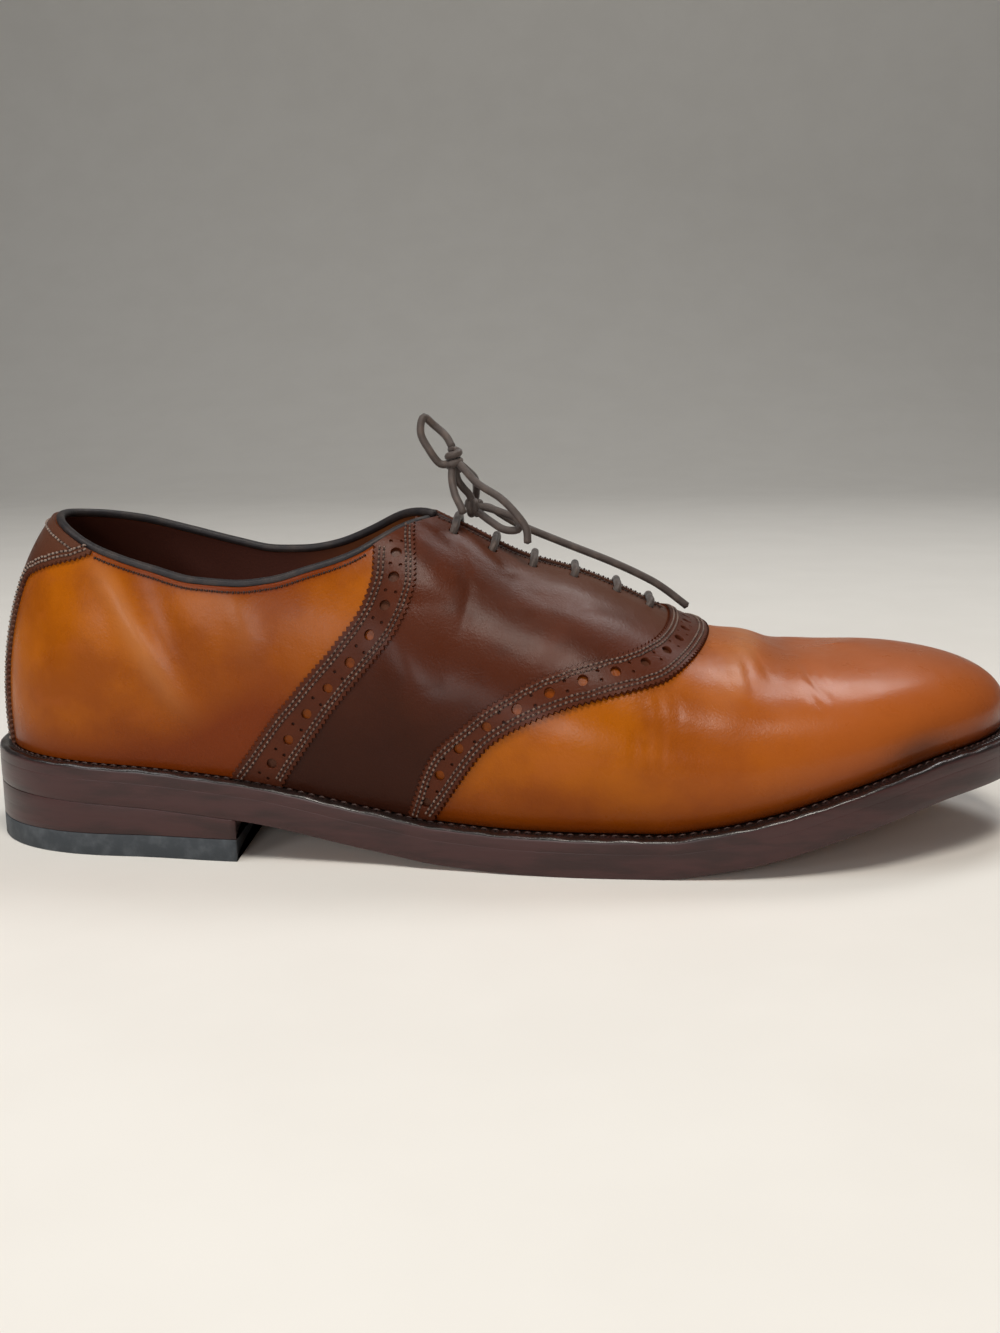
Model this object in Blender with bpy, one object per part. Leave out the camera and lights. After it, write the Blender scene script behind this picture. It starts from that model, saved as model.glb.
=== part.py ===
"""A right saddle shoe: welted sole on a stacked heel, hollow upper, laid-on saddle and laces.

Metres, +Z up, toe to +X. The origin is on the floor under the middle of the heel. Every
piece is read off one last: the sections of the SECTIONS table, swept round its outline.
"""

import math
from collections import namedtuple

import bmesh
import bpy
import numpy as np

MM = 0.001

# Last
LAST_LENGTH = 297 * MM
BALL_WIDTH = 98 * MM
INSTEP_HEIGHT = 84 * MM
HEEL_RISE = 17 * MM
TOE_SPRING = 21 * MM
HEEL_CENTRE = 36 * MM
TOE_CENTRE = 46 * MM
CENTRE_BLEND = 12 * MM
HEEL_ROUND = 2.05
TOE_ROUND = 2.08
HEEL_ARC = 0.14
TOE_ARC = 0.31

# Walls and soles
UPPER_WALL = 2.2 * MM
OVERLAY = 1.2 * MM
BACKSTAY_WIDTH = 26 * MM
BINDING_RADIUS = 1.5 * MM
TONGUE_THICKNESS = 2.2 * MM
TONGUE_DROP = 2.2 * MM
OUTSOLE_THICKNESS = 7 * MM
WELT_THICKNESS = 3.6 * MM
WELT_REACH = 6 * MM
WELT_LEDGE = 4 * MM
TOP_LIFT = 6.5 * MM
HEEL_LENGTH = 74 * MM
BREAST_HOLLOW = 3 * MM
EDGE_ROUND = 0.6 * MM
GAP = 0.3 * MM

# Openings: shares of the last's length, and widths
THROAT = 0.66
TONGUE_TOP = 0.418
TONGUE_FRONT = 0.685
TONGUE_TOP_WIDTH = 46 * MM
TONGUE_FRONT_WIDTH = 26 * MM
FACING_GAP_TOP = 15 * MM
FACING_GAP_THROAT = 4 * MM

# Lace
LACE_DIAMETER = 2.3 * MM
BAR_CLEARANCE = 0.6 * MM
EYELET_INSET = 6 * MM
EYELET_STATIONS = (0.452, 0.489, 0.530, 0.571, 0.612, 0.645)

# The bow: middles and half sizes of its two knots, and route points of its free cords, in
# millimetres from the last's heel end, the centre line and the floor
KNOT = ((135.2, -6.0, 112.0), (2.6, 2.7, 4.4))
CROSSING = ((140.6, -3.5, 97.6), (3.0, 3.6, 2.8))
CORD_ROUTES = {
    "lace_riser": ((136.0, -5.7, 106.6), (137.6, -5.2, 103.8), (139.6, -4.3, 101.3)),
    "lace_strand_outer": ((134.6, -7.7, 107.3), (135.6, -10.6, 102.4), (137.4, -13.2, 99.0)),
    "lace_strand_inner": ((138.6, -4.2, 109.0), (140.9, 3.0, 105.4), (140.6, 8.5, 99.6), (138.6, 11.6, 95.6)),
    "lace_loop_rear": (
        (131.8, -6.4, 109.6),
        (128.2, -6.6, 114.6),
        (125.6, -5.8, 119.6),
        (126.3, -4.0, 124.2),
        (129.0, -2.2, 122.0),
        (132.6, -2.8, 118.8),
        (134.2, -4.2, 117.6),
    ),
    "lace_loop_front": (
        (144.4, -4.5, 97.7),
        (149.0, -6.0, 96.4),
        (153.4, -8.2, 94.6),
        (154.2, -11.6, 92.0),
        (150.2, -11.4, 91.8),
        (146.2, -8.6, 93.8),
        (144.0, -6.8, 95.0),
    ),
    "lace_end_long": (
        (145.0, -0.2, 97.4),
        (150.5, 1.0, 94.0),
        (155.4, 1.0, 91.4),
        (168.0, 1.0, 86.2),
        (181.9, 1.0, 80.6),
        (192.4, 1.0, 75.6),
        (197.9, 1.0, 72.2),
        (204.4, 0.6, 67.2),
    ),
    "lace_end_short": (
        (137.8, -7.9, 109.8),
        (142.3, -10.0, 105.2),
        (148.8, -12.0, 101.2),
        (153.2, -13.6, 97.0),
        (156.4, -14.6, 92.6),
        (156.9, -15.0, 88.4),
    ),
}

# at: share of the length. centre, half, ridge_y: shares of the ball width. ridge: share of the
# instep height. rise: share of the heel rise behind the ball and of the toe spring before it.
# square: power of the section's curve. tuck: degrees it draws in under its widest point.
# reach: share of the welt's reach.
Section = namedtuple("Section", "at centre half ridge_y ridge rise square tuck reach")
SECTIONS = (
    Section(0.00, 0.000, 0.316, 0.000, 0.940, 1.00, 2.00, 9, 0.75),
    Section(0.12, 0.012, 0.312, 0.000, 0.940, 0.90, 2.10, 12, 0.75),
    Section(0.25, -0.022, 0.318, 0.000, 0.990, 0.72, 2.20, 16, 0.90),
    Section(0.38, -0.038, 0.331, 0.000, 1.020, 0.27, 2.10, 20, 0.97),
    Section(0.45, -0.050, 0.355, 0.005, 0.945, 0.08, 2.00, 24, 1.00),
    Section(0.52, -0.045, 0.398, 0.012, 0.828, 0.01, 2.00, 24, 1.00),
    Section(0.58, -0.031, 0.436, 0.020, 0.762, 0.00, 2.00, 24, 1.00),
    Section(0.65, -0.008, 0.470, 0.033, 0.645, 0.00, 2.05, 24, 1.02),
    Section(0.70, 0.006, 0.488, 0.040, 0.540, 0.09, 2.10, 24, 1.06),
    Section(0.76, 0.014, 0.499, 0.045, 0.450, 0.27, 2.20, 22, 1.10),
    Section(0.84, 0.018, 0.504, 0.045, 0.345, 0.60, 2.35, 20, 1.12),
    Section(0.93, 0.030, 0.490, 0.040, 0.330, 0.90, 2.40, 16, 1.05),
    Section(1.00, 0.028, 0.476, 0.035, 0.330, 1.00, 2.40, 12, 1.00),
)
FLAT_AT = 0.615

# Top edge of the quarters, as a share of each section's length from sole to ridge
Collar = namedtuple("Collar", "at lateral medial")
COLLAR = (
    Collar(0.00, 0.750, 0.750),
    Collar(0.05, 0.710, 0.740),
    Collar(0.095, 0.664, 0.720),
    Collar(0.16, 0.604, 0.668),
    Collar(0.21, 0.558, 0.625),
    Collar(0.25, 0.548, 0.602),
    Collar(0.285, 0.567, 0.614),
    Collar(0.32, 0.612, 0.650),
    Collar(0.36, 0.672, 0.726),
    Collar(0.38, 0.715, 0.775),
    Collar(0.40, 0.776, 0.835),
    Collar(0.43, 0.900, 0.930),
    Collar(0.46, 1.100, 1.100),
)

# Saddle's rear and front edges: place along the last at each height over the upper's lower edge,
# which is a share of the instep height
Border = namedtuple("Border", "height rear front")
SADDLE = (
    Border(-0.15, 0.215, 0.420),
    Border(0.00, 0.238, 0.443),
    Border(0.05, 0.247, 0.452),
    Border(0.19, 0.271, 0.476),
    Border(0.29, 0.287, 0.497),
    Border(0.38, 0.302, 0.545),
    Border(0.45, 0.314, 0.590),
    Border(0.475, 0.318, 0.614),
    Border(0.50, 0.324, 0.648),
    Border(0.54, 0.331, 0.677),
    Border(0.56, 0.335, 0.692),
    Border(0.575, 0.338, 0.708),
    Border(0.68, 0.357, 0.709),
    Border(0.785, 0.374, 0.709),
    Border(1.40, 0.376, 0.709),
)

# Backstay's wing: its lower edge as a share of the instep height, along the last
Wing = namedtuple("Wing", "at height")
WING = (
    Wing(-0.060, 0.590),
    Wing(0.020, 0.610),
    Wing(0.054, 0.664),
    Wing(0.077, 0.706),
    Wing(0.106, 0.765),
)

UPPER_HEIGHTS = (0, 0.05, 0.15, 0.27, 0.40, 0.53, 0.66, 0.78, 0.89, 1)
STATIONS_A_SIDE = 32
PROFILE_ANGLES = 49
SIDES = (-1, 1)


def smooth_curve(xs, ys):
    """A monotone cubic through the points, so that nothing overshoots its neighbours."""
    xs, ys = np.asarray(xs, float), np.asarray(ys, float)
    step = np.diff(xs)
    slope = np.diff(ys) / step
    tangent = np.zeros_like(ys)
    for i in range(1, len(xs) - 1):
        if slope[i - 1] * slope[i] > 0:
            before = 2 * step[i] + step[i - 1]
            after = step[i] + 2 * step[i - 1]
            tangent[i] = (before + after) / (before / slope[i - 1] + after / slope[i])
    tangent[0], tangent[-1] = slope[0], slope[-1]

    def value(x):
        x = np.clip(np.asarray(x, float), xs[0], xs[-1])
        i = np.clip(np.searchsorted(xs, x) - 1, 0, len(xs) - 2)
        h = step[i]
        f = (x - xs[i]) / h
        start = ys[i] * (1 + 2 * f) * (1 - f) ** 2 + tangent[i] * h * f * (1 - f) ** 2
        end = ys[i + 1] * f**2 * (3 - 2 * f) - tangent[i + 1] * h * f**2 * (1 - f)
        return start + end

    return value


def column(rows, name):
    """One column of a table as a smooth curve over its first column."""
    return smooth_curve([row[0] for row in rows], [getattr(row, name) for row in rows])


LAST = {name: column(SECTIONS, name) for name in Section._fields[1:]}
TOP_EDGE = {-1: column(COLLAR, "lateral"), 1: column(COLLAR, "medial")}


def unit(v):
    return v / np.maximum(np.linalg.norm(v, axis=-1, keepdims=True), 1e-12)


# Sole lines


def underside(x):
    """Height of the outsole's lower face: the heel's rise behind the tread, the spring before it."""
    share = x / LAST_LENGTH
    height = np.where(share < FLAT_AT, HEEL_RISE, TOE_SPRING)
    return height * LAST["rise"](share)


def outsole_top(x):
    return underside(x) + OUTSOLE_THICKNESS


def welt_top(x):
    return outsole_top(x) + GAP + WELT_THICKNESS


def feather_height(x):
    """Height of the upper's lower edge, just clear of the welt."""
    return welt_top(x) + GAP


def feather(side, s):
    """The last's outline in plan, side -1 lateral and 1 medial."""
    heel = np.clip(1 - s / HEEL_ARC, 0, 1) ** HEEL_ROUND
    toe = np.clip((s - 1 + TOE_ARC) / TOE_ARC, 0, 1) ** TOE_ROUND
    ends = (1 - heel) ** (1 / HEEL_ROUND) * (1 - toe) ** (1 / TOE_ROUND)
    y = (LAST["centre"](s) + side * ends * LAST["half"](s)) * BALL_WIDTH
    return np.stack([s * LAST_LENGTH, y], -1)


def outline(side, s, out):
    """The last's outline moved outwards by a distance, which may vary along it."""
    e = 1e-4
    along = feather(side, np.clip(s + e, 0, 1)) - feather(side, np.clip(s - e, 0, 1))
    along[s < e] = (0, side)
    along[s > 1 - e] = (0, -side)
    along = unit(along)
    outward = np.stack([-along[:, 1], along[:, 0]], -1) * side
    return feather(side, s) + outward * np.broadcast_to(out, s.shape)[:, None]


def sole_edge(side, s):
    return outline(side, s, UPPER_WALL + LAST["reach"](s) * WELT_REACH)


def stations():
    """Places along one side, closer together towards both ends, with one on the throat."""
    shares = 0.5 - 0.5 * np.cos(math.pi * np.linspace(0, 1, STATIONS_A_SIDE + 1))
    shares[np.abs(shares - THROAT).argmin()] = THROAT
    return shares


# Last surface


def spine(x):
    """Where the section that starts at x ends on the ridge: sections fan out round both ends."""

    def soft(v):
        return CENTRE_BLEND * np.logaddexp(0, v / CENTRE_BLEND)

    return HEEL_CENTRE + soft(x - HEEL_CENTRE) - soft(x - (LAST_LENGTH - TOE_CENTRE))


def sections(side, s):
    """The section curve at each place, from the outline up to the ridge."""
    x_top = spine(s * LAST_LENGTH)
    s_top = x_top / LAST_LENGTH
    base = feather(side, s)
    top = np.stack([x_top, LAST["ridge_y"](s_top) * BALL_WIDTH], -1)
    z_base = feather_height(s * LAST_LENGTH)
    z_top = feather_height(x_top) + LAST["ridge"](s_top) * INSTEP_HEIGHT
    tuck = np.radians(LAST["tuck"](s))[..., None]
    power = (2 / LAST["square"](s))[..., None]
    angle = -tuck + (math.pi / 2 + tuck) * np.linspace(0, 1, PROFILE_ANGLES)
    reach = np.maximum(np.cos(angle), 0) ** power / np.cos(tuck) ** power
    low = -np.sin(tuck) ** power
    climb = (np.sign(angle) * np.abs(np.sin(angle)) ** power - low) / (1 - low)
    plan = top[..., None, :] + (base - top)[..., None, :] * reach[..., None]
    z = z_base[..., None] + (z_top - z_base)[..., None] * climb
    return np.concatenate([plan, z[..., None]], -1)


def section_lengths(side, s):
    return np.linalg.norm(np.diff(sections(side, s), axis=-2), axis=-1).sum(-1)


def on_last(side, s, t):
    """Points of the last: side, place along it, and share of the section's length."""
    side, s, t = np.broadcast_arrays(np.asarray(side, float), s, t)
    curves = sections(side, s).reshape(-1, PROFILE_ANGLES, 3)
    run = np.linalg.norm(np.diff(curves, axis=1), axis=-1)
    total = np.concatenate([np.zeros((len(run), 1)), np.cumsum(run, 1)], 1)
    want = t.ravel() * total[:, -1]
    i = np.clip((total < want[:, None]).sum(1) - 1, 0, PROFILE_ANGLES - 2)
    rows = np.arange(len(i))
    f = ((want - total[rows, i]) / run[rows, i])[:, None]
    return (curves[rows, i] * (1 - f) + curves[rows, i + 1] * f).reshape(s.shape + (3,))


def turn_of(side, s):
    """Place round the whole outline: 0 at the heel, -1 and 1 both at the toe."""
    return side * np.arccos(1 - 2 * np.asarray(s, float)) / math.pi


def at_turn(turn, t):
    turn = (np.asarray(turn, float) + 1) % 2 - 1
    side = np.where(turn < 0, -1.0, 1.0)
    return on_last(side, 0.5 - 0.5 * np.cos(math.pi * turn), t)


def normals(turn, t):
    e = 2e-3
    turn, t = np.broadcast_arrays(np.asarray(turn, float), np.asarray(t, float))
    low, high = np.clip(t - e, 0, 1), np.clip(t + e, 0, 1)
    across = at_turn(turn + e, t) - at_turn(turn - e, t)
    return unit(np.cross(at_turn(turn, high) - at_turn(turn, low), across))


def lifted(side, s, t, out):
    """Points off the last by a distance, kept above the lower edge and joined on the ridge."""
    side, s, t = np.broadcast_arrays(np.asarray(side, float), s, t)
    turn = turn_of(side, s)
    normal = normals(turn, t)
    other = normals(-turn, t)
    ridge = (t > 0.9999)[..., None]
    normal = np.where(ridge, unit(normal + other), normal)
    heel = (s < 1e-6)[..., None]
    normal = np.where(heel, unit(normal * (1, 0, 1)), normal)
    point = on_last(side, s, t) + normal * out
    point[..., 2] = np.maximum(point[..., 2], feather_height(point[..., 0]))
    return point


def facing_half_gap(s):
    start = COLLAR[-2].at
    f = np.clip((s - start) / (THROAT - start), 0, 1)
    return (FACING_GAP_TOP + (FACING_GAP_THROAT - FACING_GAP_TOP) * f) / 2


def top_share(side, s):
    """Share of each section's length that the upper covers: collar, facing, then closed."""
    facing = 1 - facing_half_gap(s) / section_lengths(side, s)
    return np.where(s < THROAT - 1e-9, np.minimum(TOP_EDGE[side](s), facing), 1.0)


# Mesh making


def add_grid(bm, points):
    """Triangles over a grid of points, split alike so that laid-on sheets stay parallel."""
    verts = [[bm.verts.new(p) for p in row] for row in points]
    for row, above in zip(verts, verts[1:]):
        for i in range(len(row) - 1):
            bm.faces.new((row[i], row[i + 1], above[i + 1]))
            bm.faces.new((row[i], above[i + 1], above[i]))


def finish(name, bm, material):
    """Joins the grids at their shared points and makes the closed solid."""
    bmesh.ops.remove_doubles(bm, verts=bm.verts, dist=1e-6)
    bmesh.ops.dissolve_degenerate(bm, edges=bm.edges, dist=1e-7)
    bmesh.ops.translate(bm, verts=bm.verts, vec=(-HEEL_CENTRE, 0, 0))
    bmesh.ops.triangulate(bm, faces=bm.faces)
    bmesh.ops.recalc_face_normals(bm, faces=bm.faces)
    mesh = bpy.data.meshes.new(name)
    bm.to_mesh(mesh)
    bm.free()
    mesh.shade_smooth()
    mesh.set_sharp_from_angle(angle=math.radians(40))
    if material:
        mesh.materials.append(material)
    obj = bpy.data.objects.new(name, mesh)
    bpy.context.scene.collection.objects.link(obj)
    return obj


def add_shell(bm, outer, inner, open_edges):
    """Two facing sheets, closed along the edges named: first and last row, first and last column."""
    add_grid(bm, outer)
    add_grid(bm, inner)
    edges = {
        "first_row": (outer[0], inner[0]),
        "last_row": (outer[-1], inner[-1]),
        "first_column": (outer[:, 0], inner[:, 0]),
        "last_column": (outer[:, -1], inner[:, -1]),
    }
    for edge in open_edges:
        add_grid(bm, np.stack(edges[edge]))


def slab(name, shares, edge, low, high, material, hollow=0.0):
    """A layer of the sole: outline at the given places, lower and upper face, rounded edges."""
    lateral, medial = edge(-1, shares), edge(1, shares)
    inward = unit(medial - lateral)
    inward[:, 0] = np.where(shares < 0.5, 1, -1) * (np.linalg.norm(medial - lateral, axis=1) < 1e-6)
    lateral_in, medial_in = lateral + inward * EDGE_ROUND, medial - inward * (-1, 1) * EDGE_ROUND
    medial_in[:, 0] = lateral_in[:, 0] - lateral[:, 0] + medial[:, 0]
    across = np.linspace(0, 1, 5)[:, None, None]
    middle = lateral_in * (1 - across) + medial_in * across
    bend = 4 * across * (1 - across) * (shares / shares[-1])[None, :, None] ** 6
    middle[..., :1] -= hollow * bend

    def at(points, surface, lift):
        return np.concatenate([points, (surface(points[..., :1]) + lift)], -1)

    bm = bmesh.new()
    top, bottom = at(middle, high, 0), at(middle, low, 0)
    add_grid(bm, top)
    add_grid(bm, bottom)
    wall = []
    for rim, top_row, bottom_row in ((lateral, top[0], bottom[0]), (medial, top[-1], bottom[-1])):
        rows = [top_row, at(rim, high, -EDGE_ROUND), at(rim, low, EDGE_ROUND), bottom_row]
        wall.append(rows)
        add_grid(bm, np.stack(rows))
    if hollow:
        ends = [top[:, -1], bottom[:, -1]]
        front = [bm.verts.new(p) for p in ends[0]]
        front += [bm.verts.new(rows[k][-1]) for rows, k in ((wall[1], 1), (wall[1], 2))]
        front += [bm.verts.new(p) for p in ends[1][::-1]]
        front += [bm.verts.new(rows[k][-1]) for rows, k in ((wall[0], 2), (wall[0], 1))]
        bm.faces.new(front)
    return finish(name, bm, material)


# Pieces of the sole


def make_outsole(material):
    return slab("outsole", stations(), sole_edge, underside, outsole_top, material)


def heel_shares():
    return np.linspace(0, 1, 13) ** 1.8 * HEEL_LENGTH / LAST_LENGTH


def make_heel_stack(material):
    def low(x):
        return np.full_like(x, TOP_LIFT + GAP)

    def high(x):
        return underside(x) - GAP

    return slab("heel_stack", heel_shares(), sole_edge, low, high, material, BREAST_HOLLOW)


def make_heel_top_lift(material):
    def low(x):
        return np.zeros_like(x)

    def high(x):
        return np.full_like(x, TOP_LIFT)

    return slab("heel_top_lift", heel_shares(), sole_edge, low, high, material, BREAST_HOLLOW)


def make_insole(material):
    def edge(side, s):
        return outline(side, s, -WELT_LEDGE - GAP)

    def low(x):
        return outsole_top(x) + GAP

    return slab("insole", stations(), edge, low, welt_top, material)


def make_welt(material):
    """A ring of leather all round, between the outsole and the upper's lower edge."""
    shares = stations()
    bm = bmesh.new()
    for side in SIDES:
        rim, ledge = sole_edge(side, shares), outline(side, shares, -WELT_LEDGE)
        chamfer = outline(side, shares, UPPER_WALL + LAST["reach"](shares) * WELT_REACH - EDGE_ROUND)
        bottom, top = outsole_top(rim[:, :1]) + GAP, welt_top(rim[:, :1])
        rows = [
            np.concatenate([ledge, outsole_top(ledge[:, :1]) + GAP], -1),
            np.concatenate([rim, bottom], -1),
            np.concatenate([rim, top - EDGE_ROUND], -1),
            np.concatenate([chamfer, welt_top(chamfer[:, :1])], -1),
            np.concatenate([ledge, welt_top(ledge[:, :1])], -1),
        ]
        add_grid(bm, np.stack(rows + rows[:1]))
    return finish("welt", bm, material)


# Pieces of the upper


def upper_layer(name, near, far, material):
    """A layer of the upper between two distances off the last, open at collar, lacing and sole."""
    shares = stations()
    heights = np.array(UPPER_HEIGHTS)[:, None]
    last_open = int(np.flatnonzero(shares == THROAT)[0])
    bm = bmesh.new()
    for side in SIDES:
        t = heights * top_share(side, shares)[None, :]
        inner = lifted(side, shares[None, :], t, near)
        outer = lifted(side, shares[None, :], t, far)
        add_shell(bm, outer, inner, ["first_row"])
        add_grid(bm, np.stack([outer[-1, : last_open + 1], inner[-1, : last_open + 1]]))
    return finish(name, bm, material)


def make_upper(material):
    """Vamp and quarters as one hollow solid."""
    return upper_layer("upper", 0.0, UPPER_WALL, material)


def laid_on(name, cutters, material):
    """A panel laid on the upper: a layer of its own form, kept where the cutters are."""
    panel = upper_layer(name, UPPER_WALL + GAP, UPPER_WALL + GAP + OVERLAY, material)
    first = cutters[0]
    for other in cutters[1:]:
        join = first.modifiers.new("Join", "BOOLEAN")
        join.operation = "UNION"
        join.object = other
    keep = panel.modifiers.new("Panel outline", "BOOLEAN")
    keep.operation = "INTERSECT"
    keep.object = first
    return panel


def cutter(name, profile, low, high, axis):
    """A guide solid: a profile of (place, height) points carried across from low to high."""
    bm = bmesh.new()
    rings = []
    for reach in (low, high):
        if axis == "Y":
            points = [(place, reach, z) for place, z in profile]
        else:
            points = [(reach, place, z) for place, z in profile]
        rings.append(np.array(points + points[:1]))
    add_grid(bm, np.stack(rings))
    for ring in rings:
        bm.faces.new([bm.verts.new(p) for p in ring[:-1]])
    obj = finish(name, bm, None)
    obj.hide_render = True
    obj.display_type = "WIRE"
    return obj


def make_tongue(material):
    """A flat strip under the facings, from the throat to above the lacing."""
    shares = np.linspace(TONGUE_TOP, TONGUE_FRONT, 13)
    half = np.interp(shares, (TONGUE_TOP, TONGUE_FRONT), (TONGUE_TOP_WIDTH / 2, TONGUE_FRONT_WIDTH / 2))
    depth = -(GAP + TONGUE_DROP)
    bm = bmesh.new()
    for side in SIDES:
        t = 1 - np.linspace(0, 1, 6)[:, None] * half / section_lengths(side, shares)
        outer = lifted(side, shares[None, :], t, depth)
        inner = lifted(side, shares[None, :], t, depth - TONGUE_THICKNESS)
        add_shell(bm, outer, inner, ["last_row", "first_column", "last_column"])
    return finish("tongue", bm, material)


def over_feather(share, height):
    """A point of a profile, from a share of the length and one of the instep height."""
    x = share * LAST_LENGTH
    return x, float(feather_height(np.clip(x, 0, LAST_LENGTH)) + height * INSTEP_HEIGHT)


def make_saddle(material):
    """A panel over the waist, from the welt to the lacing, joined in front of the throat."""
    front = [over_feather(row.front, row.height) for row in SADDLE]
    rear = [over_feather(row.rear, row.height) for row in SADDLE[::-1]]
    outline_guide = cutter("saddle_outline", front + rear, -BALL_WIDTH, BALL_WIDTH, "Y")
    return laid_on("saddle", [outline_guide], material)


def make_backstay(material):
    """A strip up the back of the heel that spreads into a wing under the collar."""
    low = float(outsole_top(0.0))
    high = low + 2 * INSTEP_HEIGHT
    half = BACKSTAY_WIDTH / 2
    strip_profile = [(-half, low), (half, low), (half, high), (-half, high)]
    strip = cutter("backstay_strip", strip_profile, -BALL_WIDTH, HEEL_CENTRE / 2, "X")
    edge = [over_feather(row.at, row.height) for row in WING]
    wing_profile = edge + [(edge[-1][0], high), (edge[0][0], high)]
    wing = cutter("backstay_wing", wing_profile, -BALL_WIDTH, BALL_WIDTH, "Y")
    return laid_on("backstay", [strip, wing], material)


def add_tube(bm, centres, radius, sides):
    """A round bead along a path, closed at both ends."""
    ahead = unit(np.gradient(centres, axis=0))
    up = unit(np.cross(ahead, np.cross(np.array([0.0, 0, 1]), ahead)))
    across = np.cross(ahead, up)
    angle = np.linspace(0, 2 * math.pi, sides + 1)[:, None, None]
    rings = centres + radius * (np.cos(angle) * up + np.sin(angle) * across)
    rings[-1] = rings[0]
    add_grid(bm, rings)
    for end in (0, -1):
        bm.faces.new([bm.verts.new(p) for p in rings[:-1, end]])


def make_collar_binding(material):
    """The rolled bead on the quarters' top edge, from one facing round the heel to the other."""
    shares = stations()
    shares = np.append(shares[shares < COLLAR[-2].at - 0.008], COLLAR[-2].at)
    path, normal = [], []
    for side, order in ((-1, slice(None, None, -1)), (1, slice(1, None))):
        s = shares[order]
        t = top_share(side, s)
        path.append(lifted(side, s, t, UPPER_WALL / 2))
        normal.append(lifted(side, s, t, UPPER_WALL) - lifted(side, s, t, 0.0))
    path, normal = np.concatenate(path), unit(np.concatenate(normal))
    upward = unit(np.cross(unit(np.gradient(path, axis=0)), normal))
    upward *= np.sign(upward[:, 2:])
    bm = bmesh.new()
    add_tube(bm, path + upward * (BINDING_RADIUS + GAP), BINDING_RADIUS, 8)
    return finish("collar_binding", bm, material)


# Lace


def smooth_route(route, spacing):
    """Evenly spaced points of a smooth curve through the route's points."""
    route = np.asarray(route, float)
    ends = np.stack([2 * route[0] - route[1], 2 * route[-1] - route[-2]])
    guide = np.concatenate([ends[:1], route, ends[1:]])
    fine = []
    for a, b, c, d in zip(guide, guide[1:], guide[2:], guide[3:]):
        f = np.linspace(0, 1, 12, endpoint=False)[:, None]
        fine.append(b + (c - a) * f / 2 + (a - 2.5 * b + 2 * c - d / 2) * f**2 + (1.5 * (b - c) + (d - a) / 2) * f**3)
    fine = np.concatenate(fine + [route[-1:]])
    run = np.concatenate([[0], np.cumsum(np.linalg.norm(np.diff(fine, axis=0), axis=1))])
    count = max(3, round(run[-1] / spacing) + 1)
    return np.stack([np.interp(np.linspace(0, run[-1], count), run, column) for column in fine.T], -1)


def make_cord(name, route, material):
    """A plain round tube along a route."""
    points = smooth_route(route, 2 * LACE_DIAMETER)
    curve = bpy.data.curves.new(name, "CURVE")
    curve.dimensions = "3D"
    curve.bevel_depth = LACE_DIAMETER / 2
    curve.bevel_resolution = 2
    curve.use_fill_caps = True
    spline = curve.splines.new("POLY")
    spline.points.add(len(points) - 1)
    for target, point in zip(spline.points, points):
        target.co = (*point, 1)
    curve.materials.append(material)
    obj = bpy.data.objects.new(name, curve)
    obj.location.x = -HEEL_CENTRE
    bpy.context.scene.collection.objects.link(obj)
    return obj


def make_lace_bars(material):
    """Straight bars from each eyelet over the tongue to the one across, just clear of the saddle."""
    out = UPPER_WALL + GAP + OVERLAY + BAR_CLEARANCE + LACE_DIAMETER / 2
    for number, station in enumerate(EYELET_STATIONS, 1):
        s = np.array([station])
        route = []
        for side, reach in ((-1, (1, 0.66, 0.33)), (1, (0, 0.33, 0.66, 1))):
            eyelet = (facing_half_gap(s) + EYELET_INSET) / section_lengths(side, s)
            route += [lifted(side, s, 1 - eyelet * share, out)[0] for share in reach]
        make_cord(f"lace_bar_{number}", route, material)


def make_knot(name, place, material):
    """A drawn-up knot as a plain rounded lump."""
    middle, half = np.array(place) * MM
    bm = bmesh.new()
    bmesh.ops.create_uvsphere(bm, u_segments=12, v_segments=8, radius=1)
    bmesh.ops.scale(bm, verts=bm.verts, vec=half)
    bmesh.ops.translate(bm, verts=bm.verts, vec=middle)
    return finish(name, bm, material)


def make_bow(material):
    make_knot("lace_knot", KNOT, material)
    make_knot("lace_crossing", CROSSING, material)
    for name, route in CORD_ROUTES.items():
        make_cord(name, np.array(route) * MM, material)


# Materials


def leather(name, colour, roughness):
    """A plain leather colour with its own gloss."""
    material = bpy.data.materials.new(name)
    material.use_nodes = True
    shader = material.node_tree.nodes["Principled BSDF"]
    shader.inputs["Base Color"].default_value = (*colour, 1)
    shader.inputs["Roughness"].default_value = roughness
    shader.inputs["Metallic"].default_value = 0
    return material


def main():
    for obj in list(bpy.data.objects):
        bpy.data.objects.remove(obj, do_unlink=True)
    sole_leather = leather("sole_leather", (0.045, 0.020, 0.018), 0.4)
    make_outsole(sole_leather)
    make_heel_stack(leather("stacked_leather", (0.040, 0.018, 0.016), 0.4))
    make_heel_top_lift(leather("lift_rubber", (0.06, 0.07, 0.08), 0.6))
    make_welt(leather("welt_leather", (0.030, 0.016, 0.012), 0.3))
    make_insole(leather("insole_leather", (0.42, 0.22, 0.09), 0.7))
    make_upper(leather("tan_leather", (0.50, 0.16, 0.035), 0.35))
    make_tongue(leather("tongue_leather", (0.06, 0.02, 0.012), 0.5))
    brown_leather = leather("brown_leather", (0.055, 0.018, 0.010), 0.35)
    make_saddle(brown_leather)
    make_backstay(brown_leather)
    make_collar_binding(leather("binding_leather", (0.02, 0.018, 0.02), 0.5))
    lace_cotton = leather("lace_cotton", (0.10, 0.08, 0.07), 0.7)
    make_lace_bars(lace_cotton)
    make_bow(lace_cotton)


main()
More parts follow.
